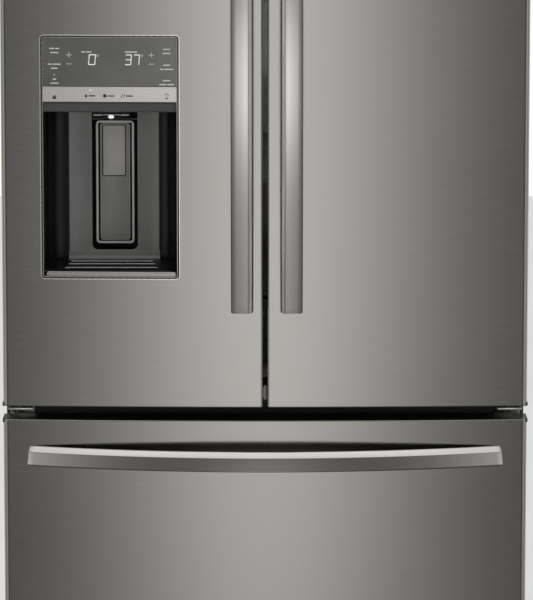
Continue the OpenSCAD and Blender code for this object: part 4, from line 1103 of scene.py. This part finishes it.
signs.label(RIGHT_AT, 1322.0, (12,), (13,))
signs.label(RIGHT_AT, 1294.7, (12,), (6, 15))
signs.label(RIGHT_AT, 1268.5, (13,), (12, 12))
signs.label(-305.5, 1317.2, (7, 9))
signs.label(-229.2, 1317.2, (21,))
signs.done("display_signs", MARK_WHITE)

keys = Marks(ON_STRIP)
# padlock
keys.rect(-363.9, -358.0, 1236.4, 1240.8)
keys.ring(-360.9, 1240.6, 2.5, 0.9, 0, 180, 10)
# drop, cube and crushed ice, each beside a bar
DROP = [(-306.7, 1245.6), (-308.9, 1241.5), (-308.2, 1239.6), (-306.7, 1238.8), (-305.1, 1239.6),
        (-304.4, 1241.5)]
keys.shape(DROP)
keys.rect(-302.1, -290.6, 1240.8, 1242.9)
keys.rect(-276.9, -271.6, 1239.2, 1244.6)
keys.rect(-269.4, -258.3, 1240.8, 1242.9)
for x, z in ((-246.0, 1240.0), (-242.3, 1239.8), (-244.4, 1243.4), (-240.7, 1243.2)):
    keys.shape([(x - 1.4, z), (x, z - 1.2), (x + 1.4, z + 0.3), (x + 0.2, z + 1.5)])
keys.rect(-237.9, -226.4, 1240.8, 1242.9)
# lamp
keys.ring(-168.3, 1243.0, 3.2, 1.0, -50, 230, 14)
keys.rect(-170.0, -166.6, 1236.8, 1238.8)
keys.done("strip_signs", MARK_DARK)
lights = Marks(LIGHT_OUT)
lights.disc(-298.5, 1252.0, 1.5)
lights.done("strip_light", DIGIT_WHITE)

# grey guide low in the gap between the doors
GUIDE_END = [(3, 9.5), (2.6, 11.4), (1.6, 12.6), (0, 13)]
GUIDE = [(r, -z) for r, z in reversed(GUIDE_END)] + GUIDE_END
guide = lathe("gap_guide", GUIDE, (0, -352, 726), 2, 24)
tab = soft_boxes("guide_tab", [((-4.2, -354, 718), (-1, -350, 734))], 0.4)
place(joined("gap_guide_piece", [guide, tab]), "left_door", SHELF_TRIM, sharp=40)

# ---------- gaskets ----------

SEAL = [
    (0, 0.4), (0, 2.4), (1.2, 3.0), (1.8, 4.2), (0.8, 5.4), (0.4, 7.0), (0.8, 9.6), (2.4, 11.2),
    (7, 11.6), (11.6, 11.2), (13.2, 9.6), (13.6, 7.0), (13.2, 5.4), (12.2, 4.2), (12.8, 3.0),
    (14, 2.4), (14, 0.4),
]
for node, body in (("left_door_gasket", "left_door"), ("right_door_gasket", "right_door"),
                   ("drawer_gasket", "freezer_drawer")):
    low, high = mm_box(node)
    seal = ring_sweep(node + "_bellows", (low[0], high[0], low[2], high[2]), 0.01, SEAL,
                      lambda x, h: DOOR_BACK + h, corner_steps=1)
    place(seal, body, RUBBER, [node], sharp=60)


# ---------- the rest of the CAD, with softened edges ----------

BODY_OF = {node: obj["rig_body"] for node, obj in NODES.items()}
# material, edge width and the nodes that have them
FINISHES = [
    (CABINET_PAINT, 0.7, "cabinet_shell"),
    (GALVANISED, 0.4, "rear_panel"),
    (GALVANISED, 0.5, "base_frame machine_cover"),
    (BLACK_PLASTIC, 1.2, "toe_grille"),
    (BLACK_PLASTIC, 1.0, "leveling_legs"),
    (WHITE_PLASTIC, 0.8, "rear_fittings"),
    (COMPRESSOR_PAINT, 0.8, "compressor"),
    (WHITE_PLASTIC, 0.6, "evaporator_cover"),
    (LINER_WHITE, 1.6, "air_duct"),
    (SHELF_TRIM, 0.8, "shelf_frames"),
    (SHELF_GLASS, 0.8, "shelf_glass"),
    (WHITE_PLASTIC, 0.9, "ice_maker_box lower_basket upper_basket"),
    (HINGE_STEEL, 0.8, "hinge_brackets freezer_rails drawer_frame middle_rails"),
    (BLACK_PLASTIC, 2.0, "hinge_covers"),
    (LINER_WHITE, 1.4, "left_door_liner right_door_liner drawer_liner"),
    (BLACK_PLASTIC, 0.5, "left_door_caps right_door_caps drawer_caps"),
    (RUBBER, 2.0, "mullion_flap"),
    (BLACK_PLASTIC, 0.4, "chute_flap evaporator_fan"),
    (CLEAR_PLASTIC, 0.6, "dairy_lid"),
    (CLEAR_PLASTIC, 0.8, "left_door_bins right_door_bins"),
    (CLEAR_PLASTIC, 0.9, "ice_bin"),
    (HINGE_STEEL, 0.5, "ice_auger"),
    (BLACK_PLASTIC, 1.5, "rear_rollers"),
    (CLEAR_PLASTIC, 1.0, "deli_drawer left_crisper right_crisper"),
    (WHITE_PLASTIC, 0.4, "condenser_fan"),
    (LINER_WHITE, 1.2, "fresh_food_liner freezer_liner"),
]
PLAIN = [
    (FOAM, "cabinet_foam left_door_foam right_door_foam drawer_foam"),
    (FINS, "condenser evaporator"),
]
for material, width, nodes in FINISHES:
    for node in nodes.split():
        place(refined(node, width), BODY_OF[node], material, [node])
for material, nodes in PLAIN:
    for node in nodes.split():
        set_materials(NODES[node].data, [material])

# lamp in the fresh food ceiling
lens = soft_boxes("ceiling_lamp_lens", [((-170, -120, 1697.4), (170, -88, 1700.6))], 1.2)
place(lens, "cabinet", INTERIOR_WHITE)

# ---------- floor and light ----------

floor_mesh = bpy.data.meshes.new("floor")
floor_mesh.from_pydata([(-9, -9, 0), (9, -9, 0), (9, 9, 0), (-9, 9, 0)], [], [(0, 1, 2, 3)])
floor = new_object("floor", floor_mesh)
material, tree, shader = new_material("floor_pale")
tint(tree, shader, noise(tree, 1.5), (0.86, 0.86, 0.86), (0.9, 0.9, 0.9))
shader.inputs["Roughness"].default_value = 0.6
floor_mesh.materials.append(material)
floor.visible_glossy = False


def studio():
    """Soft light by direction: a tall soft panel in front, a bright ceiling and dim sides."""
    world = bpy.data.worlds.new("studio")
    bpy.context.scene.world = world
    world.use_nodes = True
    tree = world.node_tree
    background = tree.nodes["Background"]
    coord = tree.nodes.new("ShaderNodeTexCoord")
    split = tree.nodes.new("ShaderNodeSeparateXYZ")
    link(tree, coord.outputs["Generated"], split.inputs[0])
    x, y, z = split.outputs

    def calc(operation, a, b=None):
        return math_node(tree, operation, a, b)

    flat = calc("SUBTRACT", 1.0, calc("MULTIPLY", z, z))
    level = calc("SQRT", flat)
    sine = calc("DIVIDE", x, calc("MAXIMUM", level, 0.02))
    squared = calc("MULTIPLY", sine, sine)

    def falloff(rate, strength):
        fade = calc("EXPONENT", calc("MULTIPLY", squared, -rate))
        return calc("MULTIPLY", fade, strength)

    panel = calc("ADD", falloff(68.0, 1.18), falloff(300.0, 0.18))
    front = calc("MULTIPLY", panel, calc("LESS_THAN", y, -0.02))
    height = calc("MULTIPLY", calc("ADD", z, 1.0), 0.5)
    tall = ramp(tree, height, [
        (0.0, 0.2), (0.2, 0.25), (0.31, 0.3), (0.37, 0.5), (0.405, 0.88), (0.43, 1.0), (0.475, 1.0),
        (0.535, 0.6), (0.58, 0.12), (1.0, 0.05),
    ])
    ceiling_light = ramp(tree, height, [(0.8, 0.0), (0.93, 0.75), (1.0, 1.0)])
    glow = calc("MULTIPLY", front, tall)
    sides = falloff(6.0, 0.09)
    above = calc("MULTIPLY", ceiling_light, 1.15)
    off = calc("SUBTRACT", calc("ABSOLUTE", sine), 0.78)
    off = calc("MULTIPLY", calc("MULTIPLY", off, off), -17.0)
    wings = ramp(tree, height, [(0.3, 0.15), (0.42, 0.75), (0.7, 0.6), (0.8, 0.2)])
    wings = calc("MULTIPLY", calc("EXPONENT", off), wings)
    behind = calc("MULTIPLY", calc("GREATER_THAN", y, 0.1), 0.35)
    total = 0.08
    for light in (glow, above, sides, wings, behind):
        total = calc("ADD", light, total)
    seen = tree.nodes.new("ShaderNodeLightPath")
    mix = tree.nodes.new("ShaderNodeMix")
    mix.data_type = "FLOAT"
    link(tree, seen.outputs["Is Camera Ray"], mix.inputs["Factor"])
    link(tree, total, mix.inputs["A"])
    mix.inputs["B"].default_value = 1.0
    link(tree, mix.outputs["Result"], background.inputs["Strength"])
    background.inputs["Color"].default_value = (1.0, 0.99, 0.975, 1)


studio()
